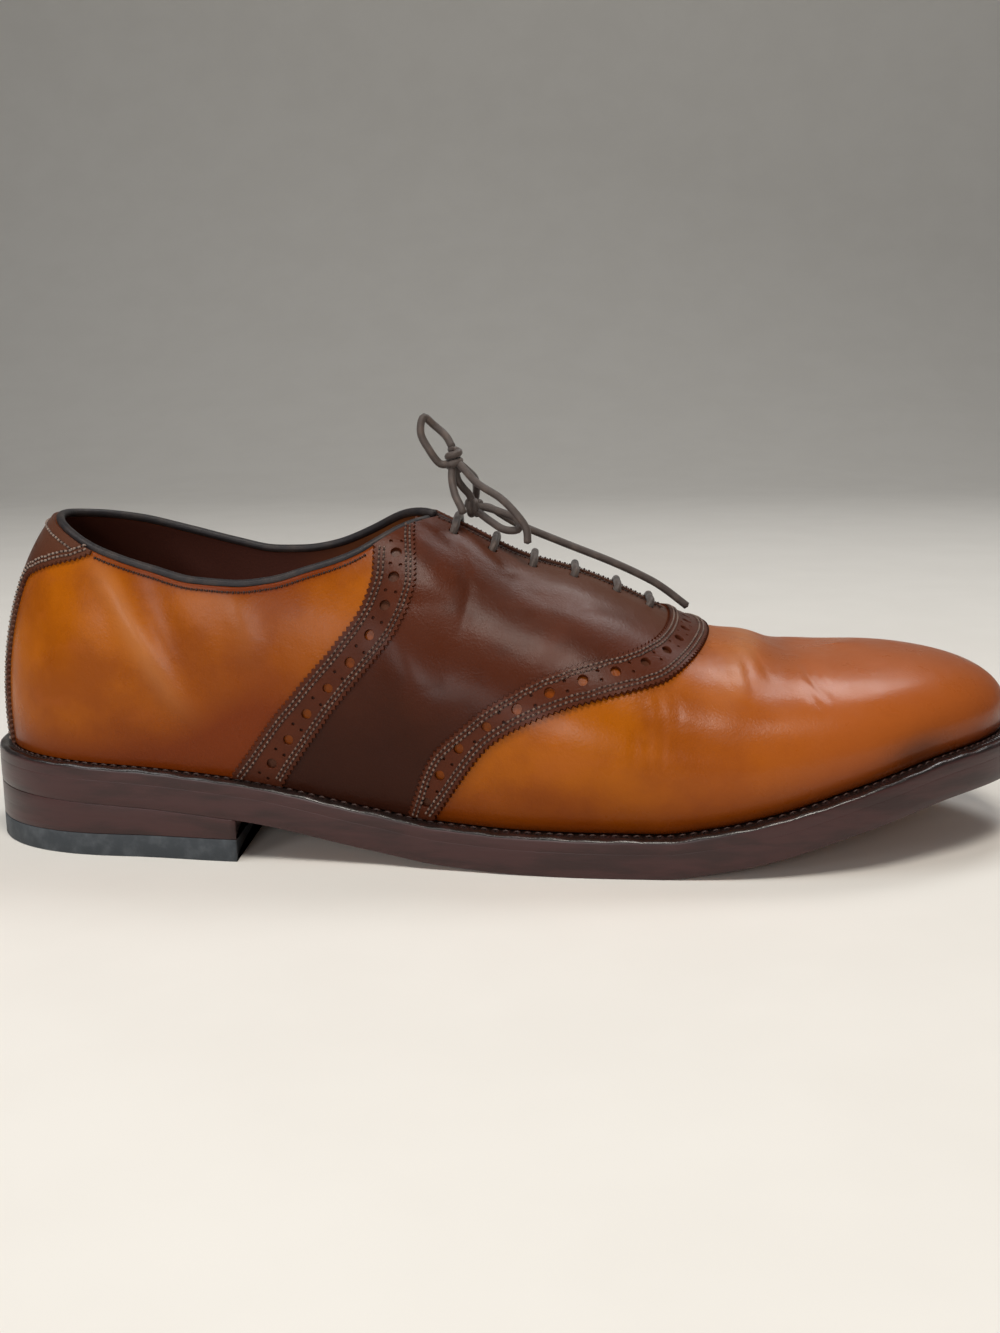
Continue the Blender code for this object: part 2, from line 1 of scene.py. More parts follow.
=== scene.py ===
"""A right saddle shoe in tan and dark brown calf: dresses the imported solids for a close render.

Metres, +Z up, toe to +X, lateral side towards the camera. Every piece is read off the same last
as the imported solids: a place on it is a share of the length and a share of the section.
"""

import math
from collections import namedtuple
from functools import lru_cache

import bmesh
import bpy
import numpy as np
from bpy.props import FloatProperty, FloatVectorProperty, PointerProperty
from mathutils import Matrix, Vector
from mathutils.geometry import delaunay_2d_cdt


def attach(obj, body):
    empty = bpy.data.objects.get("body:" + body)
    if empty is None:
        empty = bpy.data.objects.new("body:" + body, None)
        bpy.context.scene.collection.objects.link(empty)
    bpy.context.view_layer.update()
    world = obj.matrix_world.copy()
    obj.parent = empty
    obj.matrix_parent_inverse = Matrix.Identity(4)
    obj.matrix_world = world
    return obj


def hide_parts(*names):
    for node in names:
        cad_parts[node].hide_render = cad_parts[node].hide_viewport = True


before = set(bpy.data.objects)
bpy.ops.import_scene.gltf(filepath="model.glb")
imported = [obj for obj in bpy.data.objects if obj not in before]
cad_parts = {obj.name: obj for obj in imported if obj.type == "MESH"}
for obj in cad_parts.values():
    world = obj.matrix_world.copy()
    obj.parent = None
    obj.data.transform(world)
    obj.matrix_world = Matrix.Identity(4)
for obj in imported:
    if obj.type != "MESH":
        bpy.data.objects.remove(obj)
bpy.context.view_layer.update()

bl_info = {
    "name": "Saddle Shoe",
    "version": (1, 0, 0),
    "blender": (4, 5, 0),
    "location": "3D View > Sidebar > Shoe",
    "description": "Builds a laced saddle shoe with brogued straps over its packed solids",
    "category": "Add Mesh",
}

MM = 0.001

# Last
LAST_LENGTH = 297 * MM
BALL_WIDTH = 98 * MM
INSTEP_HEIGHT = 84 * MM
HEEL_RISE = 17 * MM
TOE_SPRING = 21 * MM
HEEL_CENTRE = 36 * MM
TOE_CENTRE = 46 * MM
CENTRE_BLEND = 12 * MM
HEEL_ROUND = 2.05
TOE_ROUND = 2.08
HEEL_ARC = 0.14
TOE_ARC = 0.31

# Walls and soles
UPPER_WALL = 2.2 * MM
SADDLE_TOP = 2.9 * MM
STRAP_TOP = 3.6 * MM
BACKSTAY_WIDTH = 26 * MM
BINDING_RADIUS = 1.5 * MM
TONGUE_THICKNESS = 2.2 * MM
TONGUE_DROP = 2.5 * MM
OUTSOLE_THICKNESS = 7 * MM
WELT_THICKNESS = 3.6 * MM
WELT_REACH = 6 * MM
WELT_LEDGE = 4 * MM
TOP_LIFT = 6.5 * MM
HEEL_LENGTH = 74 * MM
BREAST_HOLLOW = 3 * MM
GAP = 0.3 * MM

# Openings: shares of the last's length, and widths
THROAT = 0.66
TONGUE_TOP = 0.418
TONGUE_FRONT = 0.685
TONGUE_TOP_WIDTH = 46 * MM
TONGUE_FRONT_WIDTH = 26 * MM
FACING_GAP_TOP = 15 * MM
FACING_GAP_THROAT = 4 * MM

# Lace
LACE_DIAMETER = 2.3 * MM
EYELET_INSET = 6 * MM
EYELET_STATIONS = (0.452, 0.489, 0.530, 0.571, 0.612, 0.645)
KNOT = ((135.2, -6.0, 112.0), (2.6, 2.7, 4.4))
CROSSING = ((140.6, -3.5, 97.6), (3.0, 3.6, 2.8))
CORD_ROUTES = {
    "lace_riser": ((136.0, -5.7, 106.6), (137.6, -5.2, 103.8), (139.6, -4.3, 101.3)),
    "lace_strand_outer": ((134.6, -7.7, 107.3), (135.6, -10.6, 102.4), (137.4, -13.2, 99.0)),
    "lace_strand_inner": ((138.6, -4.2, 109.0), (140.9, 3.0, 105.4), (140.6, 8.5, 99.6), (138.6, 11.6, 95.6)),
    "lace_loop_rear": (
        (133.6, -6.3, 110.6),
        (131.0, -6.4, 110.9),
        (128.2, -6.6, 114.6),
        (125.6, -5.8, 119.6),
        (126.3, -4.0, 124.2),
        (129.0, -2.2, 122.0),
        (132.6, -2.8, 118.8),
        (134.6, -4.6, 115.6),
    ),
    "lace_loop_front": (
        (141.8, -4.0, 97.9),
        (144.4, -4.5, 97.7),
        (149.0, -6.0, 96.4),
        (153.4, -8.2, 94.6),
        (154.2, -11.6, 92.0),
        (150.2, -11.4, 91.8),
        (146.2, -8.6, 93.8),
        (141.9, -5.2, 96.6),
    ),
    "lace_end_long": (
        (145.0, -0.2, 97.4),
        (150.5, 1.0, 94.0),
        (155.4, 1.0, 91.4),
        (168.0, 1.0, 86.2),
        (181.9, 1.0, 80.6),
        (192.4, 1.0, 75.6),
        (197.9, 1.0, 72.2),
        (204.4, 0.6, 67.2),
    ),
    "lace_end_short": (
        (137.8, -7.9, 109.8),
        (142.3, -10.0, 105.2),
        (148.8, -12.0, 101.2),
        (153.2, -13.6, 97.0),
        (156.4, -14.6, 92.6),
        (156.9, -15.0, 88.4),
    ),
}

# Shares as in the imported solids: length, ball width, instep height, rise and reach of each section
Section = namedtuple("Section", "at centre half ridge_y ridge rise square tuck reach")
SECTIONS = (
    Section(0.00, 0.000, 0.316, 0.000, 0.940, 1.00, 2.00, 9, 0.75),
    Section(0.12, 0.012, 0.312, 0.000, 0.940, 0.90, 2.10, 12, 0.75),
    Section(0.25, -0.022, 0.318, 0.000, 0.990, 0.72, 2.20, 16, 0.90),
    Section(0.38, -0.038, 0.331, 0.000, 1.020, 0.27, 2.10, 20, 0.97),
    Section(0.45, -0.050, 0.355, 0.005, 0.945, 0.08, 2.00, 24, 1.00),
    Section(0.52, -0.045, 0.398, 0.012, 0.828, 0.01, 2.00, 24, 1.00),
    Section(0.58, -0.031, 0.436, 0.020, 0.762, 0.00, 2.00, 24, 1.00),
    Section(0.65, -0.008, 0.470, 0.033, 0.645, 0.00, 2.05, 24, 1.02),
    Section(0.70, 0.006, 0.488, 0.040, 0.540, 0.09, 2.10, 24, 1.06),
    Section(0.76, 0.014, 0.499, 0.045, 0.450, 0.27, 2.20, 22, 1.10),
    Section(0.84, 0.018, 0.504, 0.045, 0.345, 0.60, 2.35, 20, 1.12),
    Section(0.93, 0.030, 0.490, 0.040, 0.330, 0.90, 2.40, 16, 1.05),
    Section(1.00, 0.028, 0.476, 0.035, 0.330, 1.00, 2.40, 12, 1.00),
)
FLAT_AT = 0.615

Collar = namedtuple("Collar", "at lateral medial")
COLLAR = (
    Collar(0.00, 0.750, 0.750),
    Collar(0.05, 0.710, 0.740),
    Collar(0.095, 0.664, 0.720),
    Collar(0.16, 0.604, 0.668),
    Collar(0.21, 0.558, 0.625),
    Collar(0.25, 0.548, 0.602),
    Collar(0.285, 0.567, 0.614),
    Collar(0.32, 0.612, 0.650),
    Collar(0.36, 0.672, 0.726),
    Collar(0.38, 0.715, 0.775),
    Collar(0.40, 0.776, 0.835),
    Collar(0.43, 0.900, 0.930),
    Collar(0.46, 1.100, 1.100),
)

# Edges of the two straps: height over the upper's lower edge, as a share of the instep height,
# and place along the last
Edge = namedtuple("Edge", "height place")
STRAP_EDGES = {
    "rear": (
        Edge(-0.15, 0.218),
        Edge(0.00, 0.241),
        Edge(0.05, 0.251),
        Edge(0.10, 0.261),
        Edge(0.19, 0.277),
        Edge(0.26, 0.290),
        Edge(0.31, 0.301),
        Edge(0.38, 0.3145),
        Edge(0.45, 0.329),
        Edge(0.50, 0.340),
        Edge(0.56, 0.351),
        Edge(0.61, 0.3615),
        Edge(0.68, 0.373),
        Edge(0.73, 0.378),
        Edge(0.785, 0.383),
        Edge(1.40, 0.385),
    ),
    "rear_inner": (
        Edge(-0.15, 0.268),
        Edge(0.07, 0.3025),
        Edge(0.21, 0.3265),
        Edge(0.30, 0.342),
        Edge(0.386, 0.3585),
        Edge(0.46, 0.374),
        Edge(0.548, 0.392),
        Edge(0.61, 0.404),
        Edge(0.66, 0.411),
        Edge(0.702, 0.4165),
        Edge(0.787, 0.4235),
        Edge(0.85, 0.4230),
        Edge(0.943, 0.4195),
        Edge(1.40, 0.418),
    ),
    "front_inner": (
        Edge(-0.15, 0.400),
        Edge(0.00, 0.414),
        Edge(0.10, 0.4235),
        Edge(0.145, 0.427),
        Edge(0.20, 0.4335),
        Edge(0.25, 0.441),
        Edge(0.302, 0.4545),
        Edge(0.35, 0.469),
        Edge(0.41, 0.487),
        Edge(0.455, 0.5065),
        Edge(0.51, 0.534),
        Edge(0.55, 0.566),
        Edge(0.569, 0.588),
        Edge(0.586, 0.623),
        Edge(0.612, 0.650),
        Edge(0.633, 0.663),
        Edge(0.655, 0.674),
        Edge(1.40, 0.6745),
    ),
    "front": (
        Edge(-0.15, 0.415),
        Edge(0.00, 0.438),
        Edge(0.05, 0.447),
        Edge(0.15, 0.464),
        Edge(0.21, 0.475),
        Edge(0.26, 0.485),
        Edge(0.30, 0.495),
        Edge(0.35, 0.515),
        Edge(0.40, 0.543),
        Edge(0.43, 0.568),
        Edge(0.46, 0.600),
        Edge(0.50, 0.657),
        Edge(0.54, 0.6865),
        Edge(0.56, 0.701),
        Edge(0.575, 0.716),
        Edge(1.40, 0.717),
    ),
}
WING = (
    Edge(0.590, -0.060),
    Edge(0.610, 0.020),
    Edge(0.664, 0.054),
    Edge(0.676, 0.066),
    Edge(0.688, 0.078),
    Edge(0.699, 0.091),
    Edge(0.717, 0.103),
    Edge(0.743, 0.113),
    Edge(0.785, 0.122),
)

# Large holes along each strap from the welt, as shares of its length; the front strap's are given
# up to the ridge and mirrored beyond it
REAR_HOLES = (0.082, 0.183, 0.290, 0.400, 0.510, 0.618, 0.723, 0.820, 0.905)
FRONT_HOLES = (
    0.050, 0.125, 0.205, 0.285, 0.362, 0.440, 0.516, 0.592, 0.668, 0.744, 0.820, 0.895, 0.968,
)

# Where the row of holes runs, as a share of the strap's width from its outer edge
HOLE_ROW = 0.57

# Holes that show the tan leather below, counted from the welt
TAN_IN_REAR = (1, 2, 3, 4, 5)
TAN_IN_FRONT = (1, 2, 3, 4, 5, 6, 7, 18, 19, 20, 21, 22, 23, 24)

# Folds worn into the leather: places (share of the length, distance from the ridge as a share of
# the section, lateral side negative), half width and height in millimetres
Fold = namedtuple("Fold", "name width height places")
FOLDS = (
    Fold(
        "quarter_ridge", 4.0, 0.9,
        (
            (0.090, -0.33), (0.127, -0.455), (0.156, -0.604), (0.185, -0.75), (0.215, -0.86),
        ),
    ),
    Fold(
        "quarter_trough", 6.0, -0.8,
        (
            (0.135, -0.34), (0.165, -0.47), (0.190, -0.61), (0.220, -0.76),
        ),
    ),
    Fold("waist_ridge", 4.0, 0.5, ((0.240, -0.44), (0.252, -0.50), (0.264, -0.60), (0.268, -0.68))),
    Fold(
        "saddle_crease", 1.5, -0.35,
        (
            (0.448, -0.13), (0.465, -0.253), (0.472, -0.33), (0.470, -0.41), (0.463, -0.50),
        ),
    ),
    Fold(
        "saddle_trough", 7.0, -0.4,
        (
            (0.446, -0.10), (0.465, -0.253), (0.472, -0.33), (0.471, -0.41), (0.464, -0.50),
        ),
    ),
    Fold("saddle_shoulder", 7.0, 0.7, ((0.428, -0.20), (0.434, -0.30), (0.438, -0.40))),
    Fold(
        "saddle_swell", 8.0, 1.5,
        (
            (0.408, -0.42), (0.412, -0.54), (0.420, -0.65), (0.440, -0.74),
        ),
    ),
    Fold(
        "saddle_hollow", 7.0, -0.8,
        (
            (0.375, -0.74), (0.405, -0.80), (0.440, -0.84), (0.470, -0.84),
        ),
    ),
    Fold(
        "facing_fold", 4.0, -0.5,
        (
            (0.520, -0.28), (0.545, -0.285), (0.575, -0.275), (0.605, -0.255), (0.632, -0.23),
        ),
    ),
    Fold(
        "vamp_ridge", 6.5, 0.9,
        (
            (0.720, -0.60), (0.727, -0.49), (0.739, -0.33), (0.752, -0.10), (0.754, 0.12),
            (0.744, 0.34), (0.736, 0.50),
        ),
    ),
    Fold(
        "vamp_trough", 7.5, -1.0,
        (
            (0.736, -0.66), (0.758, -0.52), (0.772, -0.36), (0.792, -0.10), (0.794, 0.12),
            (0.782, 0.36), (0.768, 0.55),
        ),
    ),
    Fold(
        "vamp_crease", 1.7, -0.4,
        (
            (0.803, -0.30), (0.800, -0.44), (0.805, -0.54), (0.814, -0.63),
        ),
    ),
    Fold("vamp_line_low", 1.2, -0.28, ((0.792, -0.50), (0.796, -0.58), (0.803, -0.66))),
    Fold("vamp_line_high", 1.2, -0.2, ((0.812, -0.34), (0.810, -0.46), (0.816, -0.56))),
    Fold("hump_line_a", 1.0, -0.12, ((0.722, -0.22), (0.733, -0.31), (0.739, -0.43))),
    Fold("hump_line_b", 1.0, -0.12, ((0.738, -0.16), (0.750, -0.26), (0.757, -0.38))),
    Fold("hump_line_c", 1.0, -0.12, ((0.708, -0.34), (0.716, -0.44), (0.720, -0.54))),
    Fold("hump_line_d", 1.0, -0.1, ((0.752, -0.30), (0.757, -0.40), (0.760, -0.48))),
    Fold("welt_wrinkle_a", 1.2, -0.15, ((0.634, -0.58), (0.640, -0.68), (0.639, -0.80))),
    Fold("welt_wrinkle_b", 1.2, -0.16, ((0.648, -0.54), (0.653, -0.66), (0.651, -0.80))),
    Fold("welt_wrinkle_c", 1.2, -0.14, ((0.662, -0.52), (0.667, -0.62), (0.664, -0.74))),
    Fold("welt_wrinkle_d", 1.1, -0.12, ((0.625, -0.62), (0.628, -0.72), (0.626, -0.80))),
    Fold("ball_wrinkle", 1.6, -0.3, ((0.739, -0.30), (0.738, -0.44), (0.741, -0.56))),
    Fold("medial_fold_a", 3.0, -0.6, ((0.700, 0.44), (0.706, 0.56), (0.704, 0.68))),
    Fold("medial_fold_b", 2.4, -0.5, ((0.740, 0.52), (0.744, 0.64), (0.740, 0.76))),
    Fold("medial_quarter", 5.0, -0.6, ((0.130, 0.36), (0.165, 0.50), (0.185, 0.66))),
)

# Length of a middling section from the welt to the ridge, in millimetres: folds are measured on it
SECTION_SPAN = 90.0

# Fine work on the leather, in millimetres: rows of stitches from an edge, pairs of pinholes off
# the row of large holes, and how far the saddle's edge lies inside the straps' outer edges
OUTER_STITCH_ROWS = (1.5, 2.8)
INNER_STITCH_ROWS = (1.3, 2.5)
PINHOLE_OFFSET = 1.45
SADDLE_TUCK = 1.2
SOLE_STITCH_PITCH = 3.1

# Points on the meshes
PROFILE_ANGLES = 49
WELT_STATIONS = 420
STRAP_STEPS = 400
DISC_CORNERS = 14
SIDES = (-1, 1)

# Camera: lens and film in millimetres, place in metres, angles in radians
CAMERA_LENS = 53.07
FILM_WIDTH = 36
CAMERA_PLACE = (0.1307, -0.4410, 0.1373)
CAMERA_YAW, CAMERA_PITCH, CAMERA_ROLL = 0.0428, 0.1979, -0.0110

# Studio lights: places in metres, power in watts, width in metres
Lamp = namedtuple("Lamp", "name place power size tint")
LAMPS = (
    Lamp("window", (0.24, -0.56, 1.22), 9.3, 0.4, "#fff8ee"),
    Lamp("sky", (0.52, 0.60, 1.12), 4.6, 0.45, "#ffffff"),
    Lamp("left", (-0.62, -0.30, 1.1), 4.5, 0.6, "#ffffff"),
    Lamp("front", (-0.62, -1.05, 0.42), 2.4, 0.35, "#ffffff"),
    Lamp("low", (-0.10, -1.25, 0.40), 2.6, 0.25, "#ffffff"),
)
LAMP_TARGET = (0.11, 0, 0.05)
ROOM_LIGHT = 0.13


# Colours and materials


def linear(code):
    """An sRGB hex colour as the linear values that a shader takes."""
    parts = [int(code[i : i + 2], 16) / 255 for i in (1, 3, 5)]
    return tuple(c / 12.92 if c <= 0.04045 else ((c + 0.055) / 1.055) ** 2.4 for c in parts)


def hex_colour(name, description, code):
    return FloatVectorProperty(
        name=name, description=description, subtype="COLOR", min=0, max=1, default=linear(code)
    )


def length(name, description, millimetres):
    return FloatProperty(
        name=name, description=description, subtype="DISTANCE", unit="LENGTH", min=0, default=millimetres * MM
    )


class ShoeDetails(bpy.types.PropertyGroup):
    tooth_pitch: length("Tooth pitch", "Distance from one tooth of a gimped edge to the next", 1.7)
    tooth_depth: length("Tooth depth", "Depth of a gimped edge's teeth", 0.85)
    large_hole: length("Large hole", "Diameter of a brogue hole", 2.9)
    small_hole: length("Pinhole", "Diameter of a small brogue hole", 0.9)
    stitch: length("Stitch", "Length of one stitch of the upper", 0.95)
    stitch_pitch: length("Stitch pitch", "Distance from one stitch to the next", 1.55)
    thread: length("Thread", "Thickness of the upper's thread", 0.72)
    wheel_pitch: length("Wheel pitch", "Distance from one ridge of the wheeled welt to the next", 1.5)
    eyelet: length("Eyelet", "Diameter of a lace hole", 3.0)


class ShoeColours(bpy.types.PropertyGroup):
    tan: hex_colour("Tan calf", "Vamp and quarters", "#a45602")
    # Darker tan: for blotches, and for burnish and painted shade towards the welt and in the folds
    tan_deep_and_shade: hex_colour("Tan burnish and shade", "Darker tan towards the welt and in the folds", "#6f2c02")
    # Painted sheen: paler tan along the ridges of the folds
    tan_sheen: hex_colour("Tan sheen", "Paler tan along the ridges of the folds", "#b8794a")
    tan_red: hex_colour("Toe tan", "Redder tan over the toe", "#a45422")
    brown: hex_colour("Brown calf", "Saddle, straps and backstay", "#4f2413")
    # Deep brown: blotches, threads, the scuff and the lacing's edge, and painted shade low on the saddle
    brown_deep_and_shade: hex_colour("Deep brown", "Darker brown in the folds", "#2f150c")
    # Painted sheen on the saddle next to the lacing, and paler rubbed brown on the straps, tongue and
    # backstay
    brown_pale_and_sheen: hex_colour("Pale brown and sheen", "Greyer brown: painted sheen on the saddle, rubbed on the straps", "#583728")
    thread: hex_colour("Thread", "Stitches of the upper", "#735c50")
    thread_pale: hex_colour("Worn thread", "Stitches of the backstay, where the wax has gone", "#958073")
    binding: hex_colour("Binding", "Rolled bead round the collar", "#262325")
    lining: hex_colour("Lining", "Lining leather at the heel", "#4b241a")
    lining_tan: hex_colour("Vamp lining", "Lining leather towards the toe", "#9a5a2c")
    insole: hex_colour("Insole", "Insole leather", "#b0804e")
    welt: hex_colour("Welt", "Waxed top of the welt", "#1d1513")
    edge: hex_colour("Sole edge", "Inked edge of the sole and heel", "#412625")
    sole: hex_colour("Sole leather", "Underside of the sole", "#8a5a34")
    rubber: hex_colour("Rubber", "Top lift of the heel", "#363b40")
    lace: hex_colour("Lace", "Waxed cotton lace", "#53463f")
    floor: hex_colour("Floor", "Plain pale floor", "#e9e6e0")


def details():
    return bpy.context.scene.shoe_details


def colour(name):
    return (*getattr(bpy.context.scene.shoe_colours, name), 1)


def node(material, kind, settings=None, links=None):
    """Adds a node, with its settings and sockets by name and what is linked into it."""
    made = material.node_tree.nodes.new(kind)
    for key, value in (settings or {}).items():
        if isinstance(key, int) or key in made.inputs:
            made.inputs[key].default_value = value
        else:
            setattr(made, key, value)
    for key, source in (links or {}).items():
        material.node_tree.links.new(source, made.inputs[key])
    return made


def new_material(name, roughness, **sockets):
    material = bpy.data.materials.new(name)
    material.use_nodes = True
    shader = material.node_tree.nodes["Principled BSDF"]
    shader.inputs["Roughness"].default_value = roughness
    for key, value in sockets.items():
        shader.inputs[key.replace("_", " ")].default_value = value
    return material, shader


def link(material, output, shader, socket):
    material.node_tree.links.new(output, shader.inputs[socket])


def mix(material, factor, first, second):
    """A colour between two, each a colour or a socket."""
    made = node(material, "ShaderNodeMix", {"data_type": "RGBA"})
    for key, value in ((0, factor), (6, first), (7, second)):
        if hasattr(value, "node"):
            material.node_tree.links.new(value, made.inputs[key])
        else:
            made.inputs[key].default_value = value
    return made.outputs[2]


def ramp(material, source, low, high, low_value=0.0, high_value=1.0):
    made = node(
        material,
        "ShaderNodeMapRange",
        {"interpolation_type": "SMOOTHSTEP", 1: low, 2: high, 3: low_value, 4: high_value},
        {0: source},
    )
    return made.outputs[0]


def place_of(material, attribute=None):
    if attribute:
        return node(material, "ShaderNodeAttribute", {"attribute_name": attribute}).outputs
    return node(material, "ShaderNodeTexCoord").outputs["Object"]


def noise(material, coordinate, size, detail, stretch=None):
    """Noise whose blotches are about that size, in metres; stretch squeezes it along the axes."""
    if stretch:
        mapping = node(material, "ShaderNodeMapping", {"Scale": stretch}, {"Vector": coordinate})
        coordinate = mapping.outputs[0]
    made = node(
        material,
        "ShaderNodeTexNoise",
        {"Scale": 1 / size, "Detail": detail, "Roughness": 0.55},
        {"Vector": coordinate},
    )
    return made.outputs["Fac"]


def bump(material, shader, height, distance, strength, over=None):
    links = {"Height": height}
    if over:
        links["Normal"] = over
    made = node(material, "ShaderNodeBump", {"Distance": distance, "Strength": strength}, links)
    link(material, made.outputs[0], shader, "Normal")
    return made.outputs[0]


def calf_grain(material, shader, coordinate, depth):
    """Calf's fine pebble, drawn 0.7 mm across so that it shows, under slow unevenness."""
    pebble = noise(material, coordinate, 0.7 * MM, 2)
    over = bump(material, shader, pebble, depth, 0.5)
    slow = noise(material, coordinate, 6 * MM, 2)
    bump(material, shader, slow, 0.00025, 0.5, over)


def tan_calf():
    """Aniline calf, glazed and burnished by hand: a deep amber with darker, redder edges, the dark partly
    painted shade, and painted sheen on the fold ridges.
    """
    material, shader = new_material(
        "tan_glazed_calf", 0.36, Coat_Weight=0.1, Coat_Roughness=0.2, Specular_IOR_Level=0.13
    )
    place = place_of(material)
    burnish_shade_and_sheen = place_of(material, "burnish_shade_and_sheen")["Fac"]
    toe = place_of(material, "toe")["Fac"]
    cloud = noise(material, place, 26 * MM, 5)
    streak = noise(material, place, 7 * MM, 4, stretch=(0.35, 1, 1))
    base = mix(material, ramp(material, cloud, 0.40, 0.66, 0, 0.5), colour("tan"), colour("tan_deep_and_shade"))
    base = mix(material, toe, base, colour("tan_red"))
    base = mix(material, ramp(material, streak, 0.5, 0.75, 0, 0.25), base, colour("tan_red"))
    # Painted sheen: paler tan along the ridges of the folds
    base = mix(material, place_of(material, "rub")["Fac"], base, colour("tan_sheen"))
    # Darker towards the welt, collar, heel, waist and tip and in the folds: partly burnish, partly painted
    # shade
    base = mix(material, burnish_shade_and_sheen, base, colour("tan_deep_and_shade"))
    base = mix(material, place_of(material, "dye")["Fac"], base, colour("brown_deep_and_shade"))
    link(material, base, shader, "Base Color")
    dull = ramp(material, noise(material, place, 9 * MM, 4), 0.35, 0.75, 0.27, 0.42)
    link(material, dull, shader, "Roughness")
    link(material, ramp(material, toe, 0.3, 0.85, 0.08, 0.2), shader, "Coat Weight")
    calf_grain(material, shader, place, 0.00013)
    return material


def brown_calf():
    """The same calf dyed dark brown: greyer on the high places with painted sheen by the lacing, rubbed on
    the straps, and darker low down with painted shade.
    """
    material, shader = new_material(
        "brown_glazed_calf", 0.36, Coat_Weight=0.06, Coat_Roughness=0.2, Specular_IOR_Level=0.08
    )
    place = place_of(material)
    burnish_shade_and_sheen = place_of(material, "burnish_shade_and_sheen")["Fac"]
    cloud = noise(material, place, 22 * MM, 5)
    base = mix(material, ramp(material, cloud, 0.42, 0.62, 0, 0.35), colour("brown"), colour("brown_deep_and_shade"))
    # Painted shade: darker brown low down on the saddle
    base = mix(material, ramp(material, burnish_shade_and_sheen, 0, -1), base, colour("brown_deep_and_shade"))
    # Painted sheen: paler brown next to the lacing on the saddle; rubbed paler brown on the straps, tongue
    # and backstay
    base = mix(material, ramp(material, burnish_shade_and_sheen, 0, 1), base, colour("brown_pale_and_sheen"))
    link(material, base, shader, "Base Color")
    dull = ramp(material, noise(material, place, 8 * MM, 4), 0.35, 0.75, 0.3, 0.45)
    link(material, dull, shader, "Roughness")
    calf_grain(material, shader, place, 0.00018)
    return material


def lining_leather():
    """Vegetable-tanned lining, matt from wear: red-brown at the heel, tan towards the toe."""
    material, shader = new_material("lining_leather", 0.62, Specular_IOR_Level=0.3)
    place = place_of(material)
    along = node(material, "ShaderNodeSeparateXYZ", links={0: place}).outputs["X"]
    base = mix(material, ramp(material, along, 0.04, 0.10), colour("lining"), colour("lining_tan"))
    stain = ramp(material, noise(material, place, 12 * MM, 4), 0.4, 0.7, 0, 0.5)
    base = mix(material, stain, base, colour("lining"))
    link(material, base, shader, "Base Color")
    bump(material, shader, noise(material, place, 0.9 * MM, 3), 0.0001, 0.6)
    return material


def insole_leather():
    """Vegetable-tanned insole, darkened where the foot rests."""
    material, shader = new_material("insole_leather", 0.58, Specular_IOR_Level=0.35)
    place = place_of(material)
    worn = ramp(material, noise(material, place, 30 * MM, 4), 0.42, 0.62)
    link(material, mix(material, worn, colour("insole"), colour("lining_tan")), shader, "Base Color")
    bump(material, shader, noise(material, place, 1.1 * MM, 4), 0.00012, 0.7)
    return material


def binding_leather():
    """Thin turned leather, waxed nearly black, with its fibres drawn along the bead."""
    material, shader = new_material("binding_leather", 0.46, Specular_IOR_Level=0.28)
    place = place_of(material)
    fade = ramp(material, noise(material, place, 6 * MM, 4), 0.4, 0.75, 0, 0.4)
    link(material, mix(material, fade, colour("binding"), colour("lace")), shader, "Base Color")
    bump(material, shader, noise(material, place, 0.8 * MM, 3), 0.00016, 0.8)
    return material


def welt_leather():
    """Waxed and wheeled welt leather: nearly black and glossy on the ridges."""
    material, shader = new_material("waxed_welt_leather", 0.28, Coat_Weight=0.3, Coat_Roughness=0.15)
    place = place_of(material)
    wear = ramp(material, noise(material, place, 4 * MM, 4), 0.45, 0.75, 0, 0.5)
    link(material, mix(material, wear, colour("welt"), colour("edge")), shader, "Base Color")
    bump(material, shader, noise(material, place, 0.9 * MM, 4), 0.00018, 0.8)
    return material


def sole_edge_leather():
    """Sole edge, inked plum-brown and ironed with hot wax to a satin."""
    material, shader = new_material(
        "inked_sole_edge", 0.38, Coat_Weight=0.2, Coat_Roughness=0.25, Specular_IOR_Level=0.3
    )
    place = place_of(material)
    cloud = ramp(material, noise(material, place, 11 * MM, 5, stretch=(0.5, 0.5, 2.5)), 0.35, 0.7)
    base = mix(material, ramp(material, cloud, 0, 1, 0, 0.5), colour("edge"), colour("welt"))
    link(material, base, shader, "Base Color")
    layers = noise(material, place, 1.6 * MM, 4, stretch=(0.15, 0.15, 1.6))
    bump(material, shader, layers, 0.00012, 0.6)
    return material


def sole_leather():
    """Oak-bark sole leather, sanded and stained, scratched by walking."""
    material, shader = new_material("stained_sole_leather", 0.5, Specular_IOR_Level=0.4)
    place = place_of(material)
    scratch = ramp(material, noise(material, place, 3 * MM, 5, stretch=(0.25, 1, 1)), 0.42, 0.7)
    link(material, mix(material, scratch, colour("sole"), colour("edge")), shader, "Base Color")
    bump(material, shader, noise(material, place, 0.9 * MM, 4), 0.00015, 0.7)
    return material


def lift_rubber():
    """Moulded rubber, blue-grey and matt with a dusting of wear."""
    material, shader = new_material("moulded_rubber", 0.62, Specular_IOR_Level=0.4)
    place = place_of(material)
    dust = ramp(material, noise(material, place, 5 * MM, 5), 0.4, 0.75, 0, 0.35)
    link(material, mix(material, dust, colour("rubber"), linear("#6a6f73") + (1,)), shader, "Base Color")
    bump(material, shader, noise(material, place, 0.7 * MM, 3), 0.00012, 0.7)
    return material


